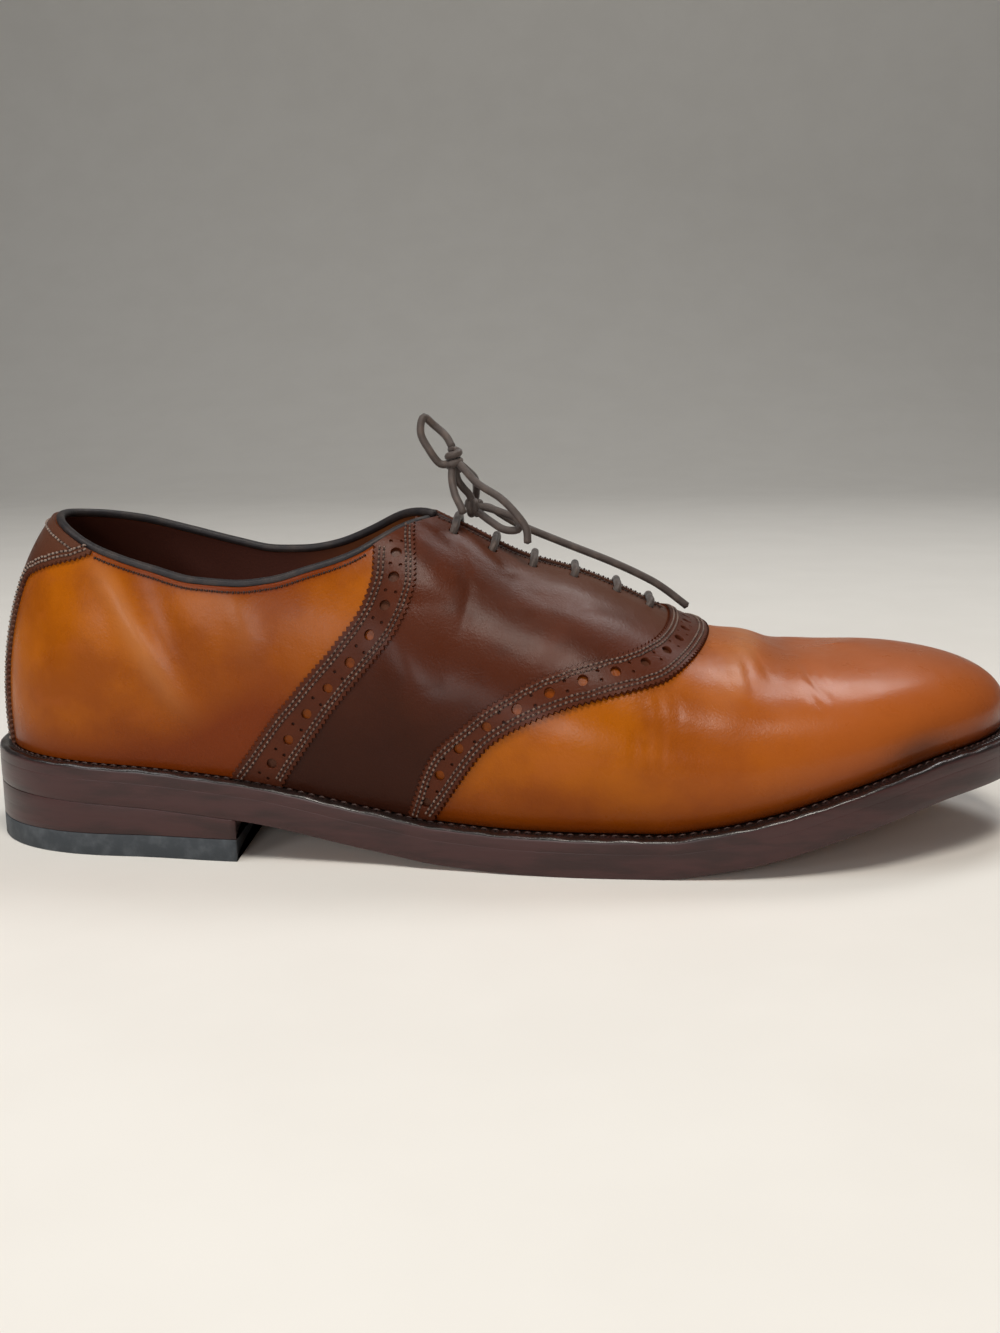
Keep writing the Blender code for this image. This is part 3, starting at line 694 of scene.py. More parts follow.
def waxed_cotton():
    """Round waxed cotton lace: a tight braid drawn 0.9 mm long, with a dull wax sheen."""
    material, shader = new_material("waxed_cotton", 0.55, Specular_IOR_Level=0.35, Sheen_Weight=0.15)
    lay = place_of(material, "lay")["Vector"]
    weave = []
    for turn in (1, -1):
        turned = node(material, "ShaderNodeMapping", {"Rotation": (0, 0, turn * 0.6)}, {"Vector": lay})
        strands = node(
            material,
            "ShaderNodeTexWave",
            {"bands_direction": "X", "Scale": 1 / (0.9 * MM) / 20, "Distortion": 0.6},
            {"Vector": turned.outputs[0]},
        )
        weave.append(strands.outputs["Fac"])
    product = node(material, "ShaderNodeMath", {"operation": "MULTIPLY"}, {0: weave[0], 1: weave[1]})
    crossed = product.outputs[0]
    # Painted shade: darker colour in the grooves between the braid's strands
    base = mix(material, ramp(material, crossed, 0.1, 0.8, 0.35, 0), colour("lace"), colour("binding"))
    link(material, base, shader, "Base Color")
    bump(material, shader, crossed, 0.00018, 0.8)
    return material


def thread(name, colour_name):
    """Linen thread, waxed and pulled flat into the leather."""
    material, shader = new_material(name, 0.5, Specular_IOR_Level=0.4)
    place = place_of(material)
    fade = ramp(material, noise(material, place, 3 * MM, 3), 0.35, 0.7, 0, 0.6)
    link(material, mix(material, fade, colour(colour_name), colour("brown_deep_and_shade")), shader, "Base Color")
    bump(material, shader, noise(material, place, 0.4 * MM, 2), 0.00008, 0.8)
    return material


MATERIALS = {}
MAKERS = {
    "tan": tan_calf,
    "brown": brown_calf,
    "lining": lining_leather,
    "insole": insole_leather,
    "binding": binding_leather,
    "welt": welt_leather,
    "edge": sole_edge_leather,
    "sole": sole_leather,
    "rubber": lift_rubber,
    "lace": waxed_cotton,
    "thread": lambda: thread("linen_thread", "thread"),
    "pale_thread": lambda: thread("worn_linen_thread", "thread_pale"),
    "dark_thread": lambda: thread("waxed_linen_thread", "brown_deep_and_shade"),
    # Painted shade: near-black marks standing in the needle holes between stitches
    "needle_hole": lambda: thread("needle_hole", "welt"),
}


def material_for(name):
    if name not in MATERIALS:
        MATERIALS[name] = MAKERS[name]()
    return MATERIALS[name]


# Last surface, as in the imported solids


def smooth_curve(xs, ys):
    """A monotone cubic through the points, so that nothing overshoots its neighbours."""
    xs, ys = np.asarray(xs, float), np.asarray(ys, float)
    step = np.diff(xs)
    slope = np.diff(ys) / step
    tangent = np.zeros_like(ys)
    for i in range(1, len(xs) - 1):
        if slope[i - 1] * slope[i] > 0:
            before = 2 * step[i] + step[i - 1]
            after = step[i] + 2 * step[i - 1]
            tangent[i] = (before + after) / (before / slope[i - 1] + after / slope[i])
    tangent[0], tangent[-1] = slope[0], slope[-1]

    def value(x):
        x = np.clip(np.asarray(x, float), xs[0], xs[-1])
        i = np.clip(np.searchsorted(xs, x) - 1, 0, len(xs) - 2)
        h = step[i]
        f = (x - xs[i]) / h
        start = ys[i] * (1 + 2 * f) * (1 - f) ** 2 + tangent[i] * h * f * (1 - f) ** 2
        end = ys[i + 1] * f**2 * (3 - 2 * f) - tangent[i + 1] * h * f**2 * (1 - f)
        return start + end

    return value


def column(rows, name):
    """One column of a table as a smooth curve over its first column."""
    return smooth_curve([row[0] for row in rows], [getattr(row, name) for row in rows])


LAST = {name: column(SECTIONS, name) for name in Section._fields[1:]}
TOP_EDGE = {-1: column(COLLAR, "lateral"), 1: column(COLLAR, "medial")}


def unit(v):
    return v / np.maximum(np.linalg.norm(v, axis=-1, keepdims=True), 1e-12)


def underside(x):
    share = x / LAST_LENGTH
    height = np.where(share < FLAT_AT, HEEL_RISE, TOE_SPRING)
    return height * LAST["rise"](share)


def outsole_top(x):
    return underside(x) + OUTSOLE_THICKNESS


def welt_top(x):
    return outsole_top(x) + GAP + WELT_THICKNESS


def feather_height(x):
    return welt_top(x) + GAP


def feather(side, s):
    """The last's outline in plan, side -1 lateral and 1 medial."""
    heel = np.clip(1 - s / HEEL_ARC, 0, 1) ** HEEL_ROUND
    toe = np.clip((s - 1 + TOE_ARC) / TOE_ARC, 0, 1) ** TOE_ROUND
    ends = (1 - heel) ** (1 / HEEL_ROUND) * (1 - toe) ** (1 / TOE_ROUND)
    y = (LAST["centre"](s) + side * ends * LAST["half"](s)) * BALL_WIDTH
    return np.stack([s * LAST_LENGTH, y], -1)


def outline(side, s, out):
    """The last's outline moved outwards by a distance, which may vary along it."""
    e = 1e-4
    along = feather(side, np.clip(s + e, 0, 1)) - feather(side, np.clip(s - e, 0, 1))
    along[s < e] = (0, side)
    along[s > 1 - e] = (0, -side)
    along = unit(along)
    outward = np.stack([-along[:, 1], along[:, 0]], -1) * side
    return feather(side, s) + outward * np.broadcast_to(out, s.shape)[:, None]


def share_at(turn):
    """Place along the last of a place round its outline, which runs from 0 at the heel to 1."""
    return 0.5 - 0.5 * np.cos(math.pi * turn)


def stations(count):
    """Places along one side, closer together towards both ends, with one on the throat."""
    shares = share_at(np.linspace(0, 1, count + 1))
    shares[np.abs(shares - THROAT).argmin()] = THROAT
    return shares


def spine(x):
    """Where the section that starts at x ends on the ridge: sections fan out round both ends."""

    def soft(v):
        return CENTRE_BLEND * np.logaddexp(0, v / CENTRE_BLEND)

    return HEEL_CENTRE + soft(x - HEEL_CENTRE) - soft(x - (LAST_LENGTH - TOE_CENTRE))


def sections(side, s):
    """The section curve at each place, from the outline up to the ridge."""
    x_top = spine(s * LAST_LENGTH)
    s_top = x_top / LAST_LENGTH
    base = feather(side, s)
    top = np.stack([x_top, LAST["ridge_y"](s_top) * BALL_WIDTH], -1)
    z_base = feather_height(s * LAST_LENGTH)
    z_top = feather_height(x_top) + LAST["ridge"](s_top) * INSTEP_HEIGHT
    tuck = np.radians(LAST["tuck"](s))[..., None]
    power = (2 / LAST["square"](s))[..., None]
    angle = -tuck + (math.pi / 2 + tuck) * np.linspace(0, 1, PROFILE_ANGLES)
    reach = np.maximum(np.cos(angle), 0) ** power / np.cos(tuck) ** power
    low = -np.sin(tuck) ** power
    climb = (np.sign(angle) * np.abs(np.sin(angle)) ** power - low) / (1 - low)
    plan = top[..., None, :] + (base - top)[..., None, :] * reach[..., None]
    z = z_base[..., None] + (z_top - z_base)[..., None] * climb
    return np.concatenate([plan, z[..., None]], -1)


LENGTH_GRID = np.linspace(0, 1, 801)
LENGTHS = {
    side: np.linalg.norm(np.diff(sections(side, LENGTH_GRID), axis=-2), axis=-1).sum(-1) for side in SIDES
}


def section_lengths(side, s):
    return np.where(
        np.asarray(side) < 0,
        np.interp(s, LENGTH_GRID, LENGTHS[-1]),
        np.interp(s, LENGTH_GRID, LENGTHS[1]),
    )


def on_last(side, s, t):
    """Points of the last: side, place along it, and share of the section's length."""
    side, s, t = np.broadcast_arrays(np.asarray(side, float), s, t)
    flat = [v.ravel() for v in (side, s, t)]
    found = np.empty((len(flat[0]), 3))
    for low in range(0, len(found), 20000):
        part = [v[low : low + 20000] for v in flat]
        curves = sections(part[0], part[1])
        run = np.linalg.norm(np.diff(curves, axis=1), axis=-1)
        total = np.concatenate([np.zeros((len(run), 1)), np.cumsum(run, 1)], 1)
        want = part[2] * total[:, -1]
        i = np.clip((total < want[:, None]).sum(1) - 1, 0, PROFILE_ANGLES - 2)
        rows = np.arange(len(i))
        f = ((want - total[rows, i]) / run[rows, i])[:, None]
        found[low : low + 20000] = curves[rows, i] * (1 - f) + curves[rows, i + 1] * f
    return found.reshape(s.shape + (3,))


def turn_of(side, s):
    """Place round the whole outline: 0 at the heel, -1 and 1 both at the toe."""
    return side * np.arccos(1 - 2 * np.asarray(s, float)) / math.pi


def at_turn(turn, t):
    turn = (np.asarray(turn, float) + 1) % 2 - 1
    side = np.where(turn < 0, -1.0, 1.0)
    return on_last(side, share_at(turn), t)


def normals(turn, t):
    e = 2e-3
    turn, t = np.broadcast_arrays(np.asarray(turn, float), np.asarray(t, float))
    low, high = np.clip(t - e, 0, 1), np.clip(t + e, 0, 1)
    across = at_turn(turn + e, t) - at_turn(turn - e, t)
    return unit(np.cross(at_turn(turn, high) - at_turn(turn, low), across))


def fold_height(side, s, t):
    """How far the folds lift the leather at each place."""
    x = s * LAST_LENGTH / MM
    across = side * (1 - t) * SECTION_SPAN
    lift = np.zeros_like(x)
    for fold in FOLDS:
        places = np.array(fold.places) * (LAST_LENGTH / MM, SECTION_SPAN)
        best = np.full(x.shape, 1e9)
        where = np.zeros(x.shape)
        count = len(places) - 1
        for k in range(count):
            (ax, ay), (bx, by) = places[k], places[k + 1]
            dx, dy = bx - ax, by - ay
            f = np.clip(((x - ax) * dx + (across - ay) * dy) / (dx * dx + dy * dy), 0, 1)
            d = np.hypot(x - ax - f * dx, across - ay - f * dy)
            near = d < best
            best = np.where(near, d, best)
            where = np.where(near, (k + f) / count, where)
        ends = np.sin(math.pi * np.clip(where, 0.02, 0.98)) ** 0.6
        lift += fold.height * ends * np.exp(-((best / fold.width) ** 2))
    return lift * MM


def lifted(side, s, t, out):
    """Points off the last by a distance, folds included, kept above the upper's lower edge."""
    side, s, t = np.broadcast_arrays(np.asarray(side, float), s, t)
    turn = turn_of(side, s)
    normal = normals(turn, t)
    ridge = t > 0.9999
    if ridge.any():
        normal[ridge] = unit(normal[ridge] + normals(-turn[ridge], t[ridge]))
    heel = (s < 1e-6)[..., None]
    normal = np.where(heel, unit(normal * (1, 0, 1)), normal)
    lift = np.asarray(out, float) + fold_height(side, s, t)
    point = on_last(side, s, t) + normal * lift[..., None]
    point[..., 2] = np.maximum(point[..., 2], feather_height(point[..., 0]))
    return point


def facing_half_gap(s):
    start = COLLAR[-2].at
    f = np.clip((s - start) / (THROAT - start), 0, 1)
    return (FACING_GAP_TOP + (FACING_GAP_THROAT - FACING_GAP_TOP) * f) / 2


def top_share(side, s):
    """Share of each section's length that the upper covers: collar, facing, then closed."""
    facing = 1 - facing_half_gap(s) / section_lengths(side, s)
    return np.where(s < THROAT - 1e-9, np.minimum(TOP_EDGE[side](s), facing), 1.0)


# Flat charts of the leather, in millimetres, on which panels are cut


class RidgeChart:
    """Place along the last, and distance from the ridge: lateral negative."""

    def to_last(self, flat):
        s = np.clip(flat[:, 0] * MM / LAST_LENGTH, 0, 1)
        side = np.where(flat[:, 1] < 0, -1.0, 1.0)
        t = 1 - np.abs(flat[:, 1]) * MM / section_lengths(side, s)
        return side, s, np.clip(t, 0, 1)

    def from_last(self, side, s, t):
        s, t = np.broadcast_arrays(s, t)
        return np.stack([s * LAST_LENGTH / MM, side * (1 - t) * section_lengths(side, s) / MM], -1)


class HeelChart:
    """Distance round the heel and height up it: lateral negative."""

    ROUND = 190.0
    UP = 92.0

    def to_last(self, flat):
        turn = flat[:, 0] / self.ROUND
        side = np.where(turn < 0, -1.0, 1.0)
        return side, share_at(turn), np.clip(flat[:, 1] / self.UP, 0, 1)

    def from_last(self, side, s, t):
        s, t = np.broadcast_arrays(s, t)
        return np.stack([turn_of(side, s) * self.ROUND, t * self.UP], -1)


RIDGE, HEEL = RidgeChart(), HeelChart()


def place(chart, flat, out):
    """Points in space, millimetres, of chart points held a distance in metres off the last."""
    side, s, t = chart.to_last(flat)
    return lifted(side, s, t, out) / MM


def stretch(chart, flat):
    """How the chart lies on the leather at each point, read clear of its lower edge."""
    e = 0.2
    if chart is RIDGE:
        side, s, t = chart.to_last(flat)
        flat = chart.from_last(side, s, np.maximum(t, 0.04))
    else:
        flat = np.maximum(flat, (-1e9, 0.04 * HEEL.UP))
    here = place(chart, flat, UPPER_WALL)
    dx = (place(chart, flat + (e, 0), UPPER_WALL) - here) / e
    up = np.where((flat[:, 1] > 0) & (chart is RIDGE), -1.0, 1.0)
    dy = (place(chart, flat + np.stack([0 * up, up * e], -1), UPPER_WALL) - here) / (up * e)[:, None]
    first = unit(dx)
    a = np.linalg.norm(dx, axis=1)
    b = (dy * first).sum(1)
    second = dy - first * b[:, None]
    c = np.linalg.norm(second, axis=1)
    return a, b, c


def shift(chart, flat, offset):
    """Chart points moved by true millimetres on the leather: along the length, then across."""
    a, b, c = stretch(chart, flat)
    down = offset[:, 1] / c
    return flat + np.stack([(offset[:, 0] - b * down) / a, down], -1)


def beside(chart, line, distance):
    """A line moved sideways on the leather, to its left where the distance is positive."""
    a, b, c = stretch(chart, line)
    step = np.gradient(line, axis=0)
    true = unit(np.stack([a * step[:, 0] + b * step[:, 1], c * step[:, 1]], -1))
    offset = np.stack([-true[:, 1], true[:, 0]], -1) * np.broadcast_to(distance, len(line))[:, None]
    down = offset[:, 1] / c
    return line + np.stack([(offset[:, 0] - b * down) / a, down], -1)


def evenly(chart, line, spacing, count=None):
    """A line's points respaced evenly on the leather."""
    run = np.linalg.norm(np.diff(place(chart, line, UPPER_WALL), axis=0), axis=1)
    run = np.concatenate([[0], np.cumsum(run)])
    count = count or max(2, round(run[-1] / spacing) + 1)
    want = np.linspace(0, run[-1], count)
    return np.stack([np.interp(want, run, line[:, 0]), np.interp(want, run, line[:, 1])], -1)


def toothed(chart, line, outward):
    """A gimped edge: teeth along a line, pointing to its left where outward is 1."""
    pitch, depth = details().tooth_pitch / MM, details().tooth_depth / MM
    even = evenly(chart, line, pitch / 4)
    wave = 1 - np.abs(((np.arange(len(even)) / 4) % 1) * 2 - 1)
    return beside(chart, even, outward * depth * (wave - 0.5))


def circle(chart, centre, radius, corners):
    angle = np.linspace(0, 2 * math.pi, corners, endpoint=False)
    ring = radius * np.stack([np.cos(angle), np.sin(angle)], -1)
    return shift(chart, np.repeat(centre[None], corners, 0), ring)


def inside(points, polygon):
    """Which points lie in a closed polygon."""
    x, y = points[:, :1], points[:, 1:]
    ax, ay = polygon[:, 0], polygon[:, 1]
    bx, by = np.roll(ax, -1), np.roll(ay, -1)
    result = np.zeros(len(points), bool)
    for low in range(0, len(points), 4000):
        px, py = x[low : low + 4000], y[low : low + 4000]
        crosses = (ay > py) != (by > py)
        level = (bx - ax) * (py - ay) / np.where(by == ay, 1, by - ay) + ax
        result[low : low + 4000] = (crosses & (px < level)).sum(1) % 2 == 1
    return result


def clear_of(points, edge, distance):
    """Which points are at least a distance from every point of an edge."""
    result = np.ones(len(points), bool)
    for low in range(0, len(points), 2000):
        part = points[low : low + 2000]
        gap = np.hypot(part[:, :1] - edge[:, 0], part[:, 1:] - edge[:, 1]).min(1)
        result[low : low + 2000] = gap > distance
    return result


# Mesh making


def to_object(name, verts, faces, material):
    """A mesh object from points in millimetres of the last, shaded smooth."""
    mesh = bpy.data.meshes.new(name)
    world = np.asarray(verts, float) * MM - (HEEL_CENTRE, 0, 0)
    mesh.from_pydata(world.tolist(), [], faces)
    mesh.validate()
    mesh.shade_smooth()
    for entry in material if isinstance(material, (list, tuple)) else [material]:
        mesh.materials.append(material_for(entry))
    obj = bpy.data.objects.new(name, mesh)
    bpy.context.scene.collection.objects.link(obj)
    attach(obj, "root")
    return obj


def face_outwards(obj):
    bm = bmesh.new()
    bm.from_mesh(obj.data)
    bmesh.ops.remove_doubles(bm, verts=bm.verts, dist=1e-6)
    bmesh.ops.recalc_face_normals(bm, faces=bm.faces)
    bm.to_mesh(obj.data)
    bm.free()


def grid_faces(rows, columns, start=0, closed=False):
    faces = []
    for i in range(rows - 1):
        for j in range(columns if closed else columns - 1):
            k = (j + 1) % columns
            this, beyond = start + i * columns, start + (i + 1) * columns
            faces.append((this + j, this + k, beyond + k, beyond + j))
    return faces


def add_values(obj, name, values):
    attribute = obj.data.attributes.new(name, "FLOAT", "POINT")
    attribute.data.foreach_set("value", np.asarray(values, np.float32))


def panel(name, chart, edge, holes, low, high, spacing, burnish_shade_and_sheen, rounding=0.2):
    """Leather cut to an edge with holes, laid on the last: its face, rounded rim and cut sides."""
    loops = [edge] + holes
    inner = []
    for loop in loops:
        area = (loop[:, 0] * np.roll(loop[:, 1], -1) - np.roll(loop[:, 0], -1) * loop[:, 1]).sum()
        inwards = (1 if area > 0 else -1) * (rounding if loop is edge else -rounding)
        inner.append(beside(chart, np.vstack([loop[-1:], loop, loop[:1]]), inwards)[1:-1])
    border = np.vstack(inner)
    lo, hi = edge.min(0), edge.max(0)
    gx, gy = np.meshgrid(np.arange(lo[0], hi[0], spacing), np.arange(lo[1], hi[1], spacing * 0.87))
    gx = gx + (np.arange(gx.shape[0]) % 2)[:, None] * spacing / 2
    field = np.stack([gx.ravel(), gy.ravel()], -1)
    field = field[inside(field, inner[0])]
    for hole in inner[1:]:
        field = field[~inside(field, hole)]
    field = field[clear_of(field, border, spacing * 0.45)]
    points = np.vstack([border, field])
    links, start = [], 0
    for loop in inner:
        count = len(loop)
        links += [(start + i, start + (i + 1) % count) for i in range(count)]
        start += count
    made = delaunay_2d_cdt([Vector(p) for p in points], links, [], 0, 1e-5)
    flat = np.array([tuple(v) for v in made[0]])
    triangles = np.array(made[2])
    middle = flat[triangles].mean(1)
    keep = inside(middle, inner[0])
    for hole in inner[1:]:
        keep &= ~inside(middle, hole)
    triangles = triangles[keep]
    origin = {}
    for new, olds in enumerate(made[3]):
        for old in olds:
            origin[old] = new
    verts = place(chart, flat, high)
    faces = [tuple(int(i) for i in tri) for tri in triangles]
    flats = [flat]
    everything = [verts]
    count = len(verts)
    level_normals = face_normals(verts, triangles)
    start = 0
    for outer in loops:
        size = len(outer)
        top = [origin[start + i] for i in range(size)]
        shoulder = place(chart, outer, high - 0.22 * MM)
        foot = place(chart, outer, low)
        for i in range(size):
            k = (i + 1) % size
            faces.append((top[i], top[k], count + k, count + i))
            faces.append((count + i, count + k, count + size + k, count + size + i))
        everything += [shoulder, foot]
        flats += [outer, outer]
        count += 2 * size
        start += size
    obj = to_object(name, np.vstack(everything), faces, "brown")
    add_values(obj, "burnish_shade_and_sheen", burnish_shade_and_sheen(*chart.to_last(np.vstack(flats))))
    smooth_faces(obj, level_normals, place(chart, flat[:1], high + MM)[0] - verts[0])
    return obj


def face_normals(verts, triangles):
    """Normal at each point, from the triangles round it."""
    first, second, third = (verts[triangles[:, k]] for k in range(3))
    cross = np.cross(second - first, third - first)
    total = np.zeros_like(verts)
    for k in range(3):
        np.add.at(total, triangles[:, k], cross)
    return unit(total)


def smooth_faces(obj, level_normals, outward):
    """Turns a panel outwards, and keeps its face's normals free of the rim's."""
    turned = 1.0
    if level_normals[0] @ outward < 0:
        obj.data.flip_normals()
        turned = -1.0
    count = len(level_normals)
    found = np.empty((len(obj.data.vertices), 3), np.float32)
    obj.data.vertices.foreach_get("normal", found.ravel())
    found[:count] = level_normals * turned
    obj.data.normals_split_custom_set_from_vertices(found.tolist())


def tube(name, centres, radius, sides, material):
    """A round cord or bead along a path in millimetres, with its length and turn kept for weaves."""
    centres = np.asarray(centres, float)
    ahead = unit(np.gradient(centres, axis=0))
    up = np.zeros_like(centres)
    first = np.cross(ahead[0], (0.3, 1, 0.2))
    up[0] = unit(np.cross(first, ahead[0]))
    for i in range(1, len(centres)):
        up[i] = unit(up[i - 1] - ahead[i] * (up[i - 1] @ ahead[i]))
    across = np.cross(ahead, up)
    angle = np.linspace(0, 2 * math.pi, sides, endpoint=False)
    rings = centres[:, None] + radius * (
        np.cos(angle)[None, :, None] * up[:, None] + np.sin(angle)[None, :, None] * across[:, None]
    )
    verts = list(rings.reshape(-1, 3))
    faces = grid_faces(len(centres), sides, closed=True)
    for k, base, sign in ((0, 0, -1), (-1, (len(centres) - 1) * sides, 1)):
        verts.append(centres[k] + ahead[k] * sign * radius * 0.45)
        tip = len(verts) - 1
        for j in range(sides):
            faces.append((base + j, base + (j + 1) % sides, tip))
    obj = to_object(name, np.array(verts), faces, material)
    run = np.concatenate([[0], np.cumsum(np.linalg.norm(np.diff(centres, axis=0), axis=1))])
    lay = np.zeros((len(verts), 3))
    lay[: len(centres) * sides, 0] = np.repeat(run, sides) * MM
    lay[: len(centres) * sides, 1] = np.tile(angle * radius, len(centres)) * MM
    attribute = obj.data.attributes.new("lay", "FLOAT_VECTOR", "POINT")
    attribute.data.foreach_set("vector", lay.astype(np.float32).ravel())
    face_outwards(obj)
    return obj


def smooth_route(route, spacing):
    """Evenly spaced points of a smooth curve through the route's points."""
    route = np.asarray(route, float)
    ends = np.stack([2 * route[0] - route[1], 2 * route[-1] - route[-2]])
    guide = np.concatenate([ends[:1], route, ends[1:]])
    fine = []
    for a, b, c, d in zip(guide, guide[1:], guide[2:], guide[3:]):
        f = np.linspace(0, 1, 12, endpoint=False)[:, None]
        bend, twist = a - 2.5 * b + 2 * c - d / 2, 1.5 * (b - c) + (d - a) / 2
        fine.append(b + (c - a) * f / 2 + bend * f**2 + twist * f**3)
    fine = np.concatenate(fine + [route[-1:]])
    run = np.concatenate([[0], np.cumsum(np.linalg.norm(np.diff(fine, axis=0), axis=1))])
    count = max(3, round(run[-1] / spacing) + 1)
    return np.stack([np.interp(np.linspace(0, run[-1], count), run, axis) for axis in fine.T], -1)


def stitch_row(chart, line, out):
    """Middle, direction and outward direction of each stitch along a line on the leather."""
    points = evenly(chart, line, details().stitch_pitch / MM)
    centre = place(chart, points, out)
    above = place(chart, points, out + 1 * MM)
    return centre, unit(np.gradient(centre, axis=0)), unit(above - centre)


def stitches(name, rows, long, thick, material):
    """Every stitch of the rows as a short thread that dips into the leather at both ends."""
    centre, ahead, up = (np.vstack(part) for part in zip(*rows))
    side = unit(np.cross(ahead, up))
    up = np.cross(side, ahead)
    long, thick = long / MM, thick / MM
    along = np.array([-0.5, -0.36, 0.0, 0.36, 0.5]) * long
    rise = np.array([-0.55, 0.1, 0.35, 0.1, -0.55]) * thick
    size = np.array([0.45, 0.9, 1.0, 0.9, 0.45]) * thick / 2
    count, sides = len(along), 6
    angle = np.linspace(0, 2 * math.pi, sides, endpoint=False)
    ring = (
        along[:, None, None] * np.array([1.0, 0, 0])
        + rise[:, None, None] * np.array([0, 0, 1.0])
        + size[:, None, None] * np.stack([0 * angle, np.cos(angle), np.sin(angle)], -1)[None]
    ).reshape(-1, 3)
    verts = (
        centre[:, None]
        + ring[None, :, :1] * ahead[:, None]
        + ring[None, :, 1:2] * side[:, None]
        + ring[None, :, 2:] * up[:, None]
    ).reshape(-1, 3)
    faces = []
    for n in range(len(centre)):
        start, last = n * count * sides, ((n + 1) * count - 1) * sides
        faces += grid_faces(count, sides, start, closed=True)
        faces.append(tuple(start + j for j in range(sides - 1, -1, -1)))
        faces.append(tuple(last + j for j in range(sides)))
    return to_object(name, verts, faces, material)


def stitched(name, rows, material):
    """Rows of stitches, with a dark mark between each two of them: painted shade in the needle hole."""
    long, thick = details().stitch, details().thread
    stitches(name + "_stitches", rows, long, thick, material)
    between = []
    for centre, ahead, up in rows:
        middle = (centre[1:] + centre[:-1]) / 2 - up[1:] * thick / MM * 0.22
        between.append((middle, ahead[1:], up[1:]))
    stitches(name + "_needle_holes", between, long * 0.5, thick, "needle_hole")


# Lines of the panels


def edge_line(rows, side):
    """Where a panel's edge, seen from the side, runs over the leather: from the welt upwards."""
    heights = [row.height for row in rows]
    places = [row.place for row in rows]
    s = np.linspace(min(places) - 0.02, max(places) + 0.02, 90)
    t = np.linspace(0, 1, 90)
    points = lifted(side, s[:, None], t[None, :], STRAP_TOP)
    height = (points[..., 2] - feather_height(points[..., 0])) / INSTEP_HEIGHT
    want = np.interp(height, heights, places)
    ahead = points[..., 0] / LAST_LENGTH - want
    found = []
    for j in range(len(t)):
        column_values = ahead[:, j]
        cross = np.flatnonzero((column_values[:-1] < 0) & (column_values[1:] >= 0))
        if len(cross):
            i = cross[0]
            f = -column_values[i] / (column_values[i + 1] - column_values[i])
            found.append((s[i] + f * (s[i + 1] - s[i]), t[j]))
    found = np.array(found)
    kernel = np.array([0.25, 0.5, 0.25])
    for _ in range(2):
        found[1:-1, 0] = np.convolve(found[:, 0], kernel, "valid")
    return RIDGE.from_last(side, found[:, 0], found[:, 1])


def up_to_collar(line, side, inset=0.0):
    """The part of a line that lies under the collar or facing edge."""
    s = line[:, 0] * MM / LAST_LENGTH
    t = 1 - np.abs(line[:, 1]) * MM / section_lengths(side, s)
    top = top_share(side, s) - inset / SECTION_SPAN
    over = np.flatnonzero(t > top)
    if not len(over):
        return line
    i = over[0]
    f = (top[i - 1] - t[i - 1]) / ((t[i] - t[i - 1]) - (top[i] - top[i - 1]))
    last = line[i - 1] + (line[i] - line[i - 1]) * f
    return np.vstack([line[:i], last])


def collar_run(side, start, end, inset=0.0):
    """The collar and facing edge between two places along the last."""
    s = np.linspace(start, end, max(4, int(abs(end - start) * 260)))
    t = top_share(side, s) - inset / (section_lengths(side, s) / MM)
    return RIDGE.from_last(side, s, t)


def feather_run(side, start, end):
    s = np.linspace(start, end, max(4, int(abs(end - start) * 180)))
    return RIDGE.from_last(side, s, np.zeros_like(s))


def place_share(line):
    return line[:, 0] * MM / LAST_LENGTH


Strap = namedtuple("Strap", "outer inner foot top large small tan")


@lru_cache
def strap_lines(kind, side):
    """Edges and holes of a strap: the rear one of one side, or the front one from side to side."""
    if kind == "rear":
        outer, inner = (
            up_to_collar(edge_line(STRAP_EDGES[name], side), side, 0.2) for name in ("rear", "rear_inner")
        )
        top = collar_run(side, place_share(outer)[-1], place_share(inner)[-1], 0.2)
        foot_side, places, tan = side, np.array(REAR_HOLES), TAN_IN_REAR
    else:
        outer, inner = (
            np.vstack([first[:-1], second[::-1]])
            for first, second in (
                [edge_line(STRAP_EDGES[name], each) for each in SIDES] for name in ("front", "front_inner")
            )
        )
        top = feather_run(1, place_share(outer)[-1], place_share(inner)[-1])
        half = np.array(FRONT_HOLES) / 2
        foot_side, places, tan = -1, np.concatenate([half, 1 - half[::-1]]), TAN_IN_FRONT
    foot = feather_run(foot_side, place_share(inner)[0], place_share(outer)[0])
    across = evenly(RIDGE, outer, 0, 200), evenly(RIDGE, inner, 0, 200)
    middle = evenly(RIDGE, across[0] * (1 - HOLE_ROW) + across[1] * HOLE_ROW, 0, STRAP_STEPS)
    spots = places * (STRAP_STEPS - 1)
    before, after = spots[0] - (spots[1] - spots[0]) / 2, spots[-1] + (spots[-1] - spots[-2]) / 2
    gaps = np.concatenate([[before], (spots[1:] + spots[:-1]) / 2, [after]])
    small = []
    for reach in (-PINHOLE_OFFSET, PINHOLE_OFFSET):
        line = beside(RIDGE, middle, reach)
        small += [at_index(line, at) for at in gaps if 5 < at < STRAP_STEPS - 6]
    large = [at_index(middle, at) for at in spots]
    return Strap(outer, inner, foot[1:-1], top[1:-1], large, small, [n in tan for n in range(len(large))])


def at_index(line, at):
    return np.array([np.interp(at, np.arange(len(line)), line[:, k]) for k in (0, 1)])


def tidy(ring):
    """The ring without points that fall on one another."""
    least = 0.2
    kept = [ring[0]]
    for point in ring[1:]:
        if np.hypot(*(point - kept[-1])) > least:
            kept.append(point)
    if np.hypot(*(kept[0] - kept[-1])) < least:
        kept.pop()
    return np.array(kept)


# Sole


def sole_reach(share):
    return UPPER_WALL + LAST["reach"](share) * WELT_REACH


